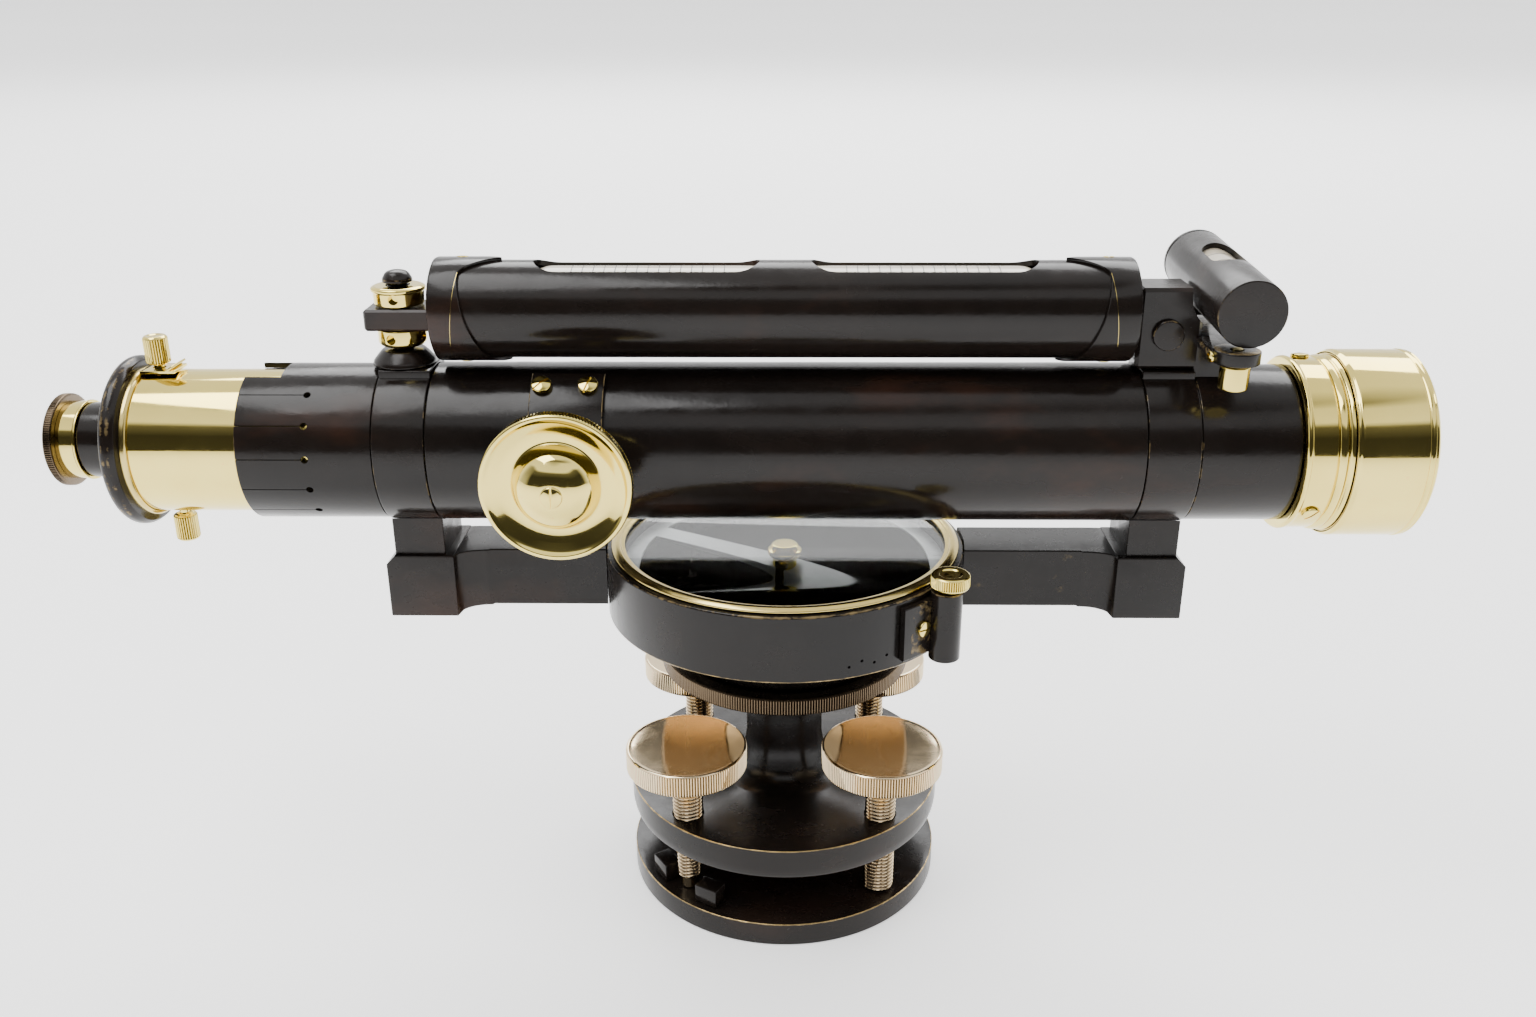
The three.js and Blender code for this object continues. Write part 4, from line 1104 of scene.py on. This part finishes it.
def cross_level():
    r, near, far, inner = 9.0, -25.0, 29.0, 7.7
    body = turned([(0, near), (r, near, 0.4, 0.15), (r, -5.4), (r, 13.9), (r, far - 2.2, 0.05),
                   (r - 0.2, far - 2, 0.05), (r - 0.2, far - 1.6, 0.05), (r, far - 1.4, 0.05),
                   (r, far, 0.5, 0.15), (0, far)], "y", 96)
    hollow = rod("y", inner, near + 2, far - 2, segments=64)
    half_width = 4.6
    window = [box_mesh((-half_width, 0, 4), (half_width, 8.5, 11.9)),
              rod("z", half_width, 4, 12), rod("z", half_width, 4, 12.1, (0, 8.5, 0))]
    ear = box_mesh((-3.2, 16, -12.8), (3, 22, -8.2), 0.3)
    shell = cut(join(body, ear), hollow)
    for opening in window:
        shell = cut(shell, opening)
    piece("cross_level_case", lay(shell), SATIN, "cross_level", "cross_level_tube")
    vial_r = 7.5
    tube = turned([(0, -20), (4, -19.6, 2), (vial_r, -16, 3), (vial_r, 16, 3), (4, 19.6, 2), (0, 20)],
                  "y", 64, steps=6)
    piece("cross_level_vial_glass", lay(tube), VIAL, "cross_level", "cross_level_vial")
    lines = []
    for y in (1.2, 7.4):
        ring = turned([(vial_r - 0.05, y - 0.1), (vial_r + 0.05, y - 0.1),
                       (vial_r + 0.05, y + 0.1), (vial_r - 0.05, y + 0.1)], "y", 64)
        lines.append(lay(ring))
    piece("cross_level_divisions", merged(lines), DIVISION, "cross_level")

    x0 = low("cross_level_bracket").x
    x1, far_end, top = high("cross_level_bracket")
    sx, sy, _ = centre("cross_level_screw")
    bottom = top - 3.5
    beam = box_mesh((x0, sy, bottom + 0.5), (x1 - 1.1, far_end, top - 0.6), 0.35, 0.3)
    web = box_mesh((x0, -7, 19), (x1 - 2.4, 7, top - 0.7), 0.4)
    boss = turned([(0, bottom), (6.1, bottom, 0.5), (6.1, top, 0.4, 0.6), (0, top)], "z", 64, (sx, sy, 0))
    hole = rod("z", 1.9, bottom - 3, top + 3, (sx, sy, 0))
    telescope = rod("x", high("objective_tube").z + 0.15, x0 - 10, x1 + 10, segments=128)
    piece("cross_level_beam", cut(join(beam, web, boss), hole, telescope), SATIN, "telescope",
          "cross_level_bracket")

    node = "cross_level_screw"
    lo, hi = ends(node)
    r = (hi.x - lo.x) / 2
    seat = lo.z + 6.6
    screw = turned([(0, lo.z), (r - 0.4, lo.z, 0.3), (r, lo.z + 0.5, 0.2), (r, seat - 0.3, 0.2),
                    (r - 0.3, seat, 0.2), (1.5, seat), (1.5, hi.z), (0, hi.z)], "z", 64, (sx, sy, 0))
    piece("cross_level_adjusting_screw", screw, BRASS, node, node)
    at = Vector((sx - 6.0, sy, bottom + 1.6))
    slotted_screw("cross_level_lock_screw", at, (-1, -0.4, 0), 1.4, 1.6, 60, "telescope")


# ------------------------------------------------------------------ inner CAD nodes
def finish_inner_nodes():
    """The hidden pieces keep their CAD shape, and get a real material."""
    materials = {
        DULL: ("ball_cup", "needle_lifter", "reticle_ring"),
        STEEL: ("ball_end", "axis_cone", "compass_pivot", "focus_pinion", "focus_rack"),
        GLASS: ("eye_lens",),
    }
    for material, nodes in materials.items():
        for node in nodes:
            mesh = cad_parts[node].data
            mesh.materials.clear()
            mesh.materials.append(material)


# ------------------------------------------------------------------ camera, floor and light
def camera():
    data = bpy.data.cameras.new("camera")
    data.lens = 31.25
    data.sensor_width = 36
    eye = placed("camera", data)
    eye.location = ORIGIN + Vector((-0.3, -360.6, 121.0)) * MM
    down, left, roll = (math.radians(angle) for angle in (21.46, 0.73, 0.11))
    turn = Matrix.Rotation(left, 4, "Z") @ Matrix.Rotation(math.pi / 2 - down, 4, "X")
    eye.rotation_euler = (turn @ Matrix.Rotation(-roll, 4, "Z")).to_euler()
    bpy.context.scene.camera = eye


def floor():
    """A pale table that runs far back and then sweeps up."""
    ground = CAD_BOX[0][2]
    front, back, wide, rise = -12.0, 9.0, 14.0, 5.0
    steps = 24
    sweep = [(front, ground)]
    for k in range(steps + 1):
        a = math.pi / 2 * k / steps
        sweep.append((back + math.sin(a) * rise, ground + (1 - math.cos(a)) * rise))
    verts = [(x, y, z) for y, z in sweep for x in (-wide, wide)]
    faces = [(2 * k, 2 * k + 1, 2 * k + 3, 2 * k + 2) for k in range(len(sweep) - 1)]
    mesh = bpy.data.meshes.new("floor")
    mesh.from_pydata(verts, [], faces)
    mesh.shade_smooth()
    n = Nodes("pale_floor")
    n.shade(Base_Color=n.mix(n.noise(6, 3), (0.90, 0.90, 0.90, 1), (0.93, 0.93, 0.93, 1)),
            Roughness=0.9, Specular_IOR_Level=0.2, Emission_Color=(1, 1, 1, 1), Emission_Strength=0.8)
    mesh.materials.append(n.owner)
    obj = placed("floor", mesh)


def lamp(name, place, size, power, target=(0, 0, 0.11)):
    data = bpy.data.lights.new(name, "AREA")
    data.shape = "RECTANGLE"
    data.size, data.size_y = size
    data.energy = power
    obj = placed(name, data)
    obj.location = place
    obj.rotation_euler = (Vector(target) - Vector(place)).to_track_quat("-Z", "Y").to_euler()


def studio():
    """A light tent: white above, behind and at the sides, with a dim room on the camera's side."""
    n = Nodes("studio", world=True)
    split = n.add("ShaderNodeSeparateXYZ", Vector=n.place)

    def by(axis, *stops):
        """A grey level that follows how far a direction points along an axis, from -1 to 1."""
        factor = n.spread(split.outputs[axis], 0, 1, -1, 1)
        return n.ramp(factor, [((at + 1) / 2, (level, level, level)) for at, level in stops])

    room = by("Z", (-1, 0.8), (-0.62, 0.8), (-0.5, 0.05), (0.35, 0.03), (0.55, 0.10),
              (0.62, 0.9), (0.80, 0.8), (0.86, 0.12), (0.92, 0.15), (0.96, 0.8))
    tent = by("Z", (-1, 0.8), (-0.1, 0.8), (0.1, 0.9), (1, 0.8))
    behind = by("Y", (-0.45, 0.0), (0.0, 1.0))
    n.shade(Color=n.mix(behind, room, tent), Strength=1.7)
    bpy.context.scene.world = n.owner
    lamp("key", (-0.5, -0.2, 1.3), (0.9, 0.6), 12)
    lamp("back", (0.2, 2.2, 2.2), (3.5, 1.6), 130, (0, 1.6, 0))


camera()
floor()
studio()

plates()
levelling_screws()
union_ring()
compass()
lifter()
limb_arm(-1)
limb_arm(1)
telescope_tubes()
objective_end()
focusing()
eye_end()
main_level()
level_fittings()
cross_level()
finish_inner_nodes()
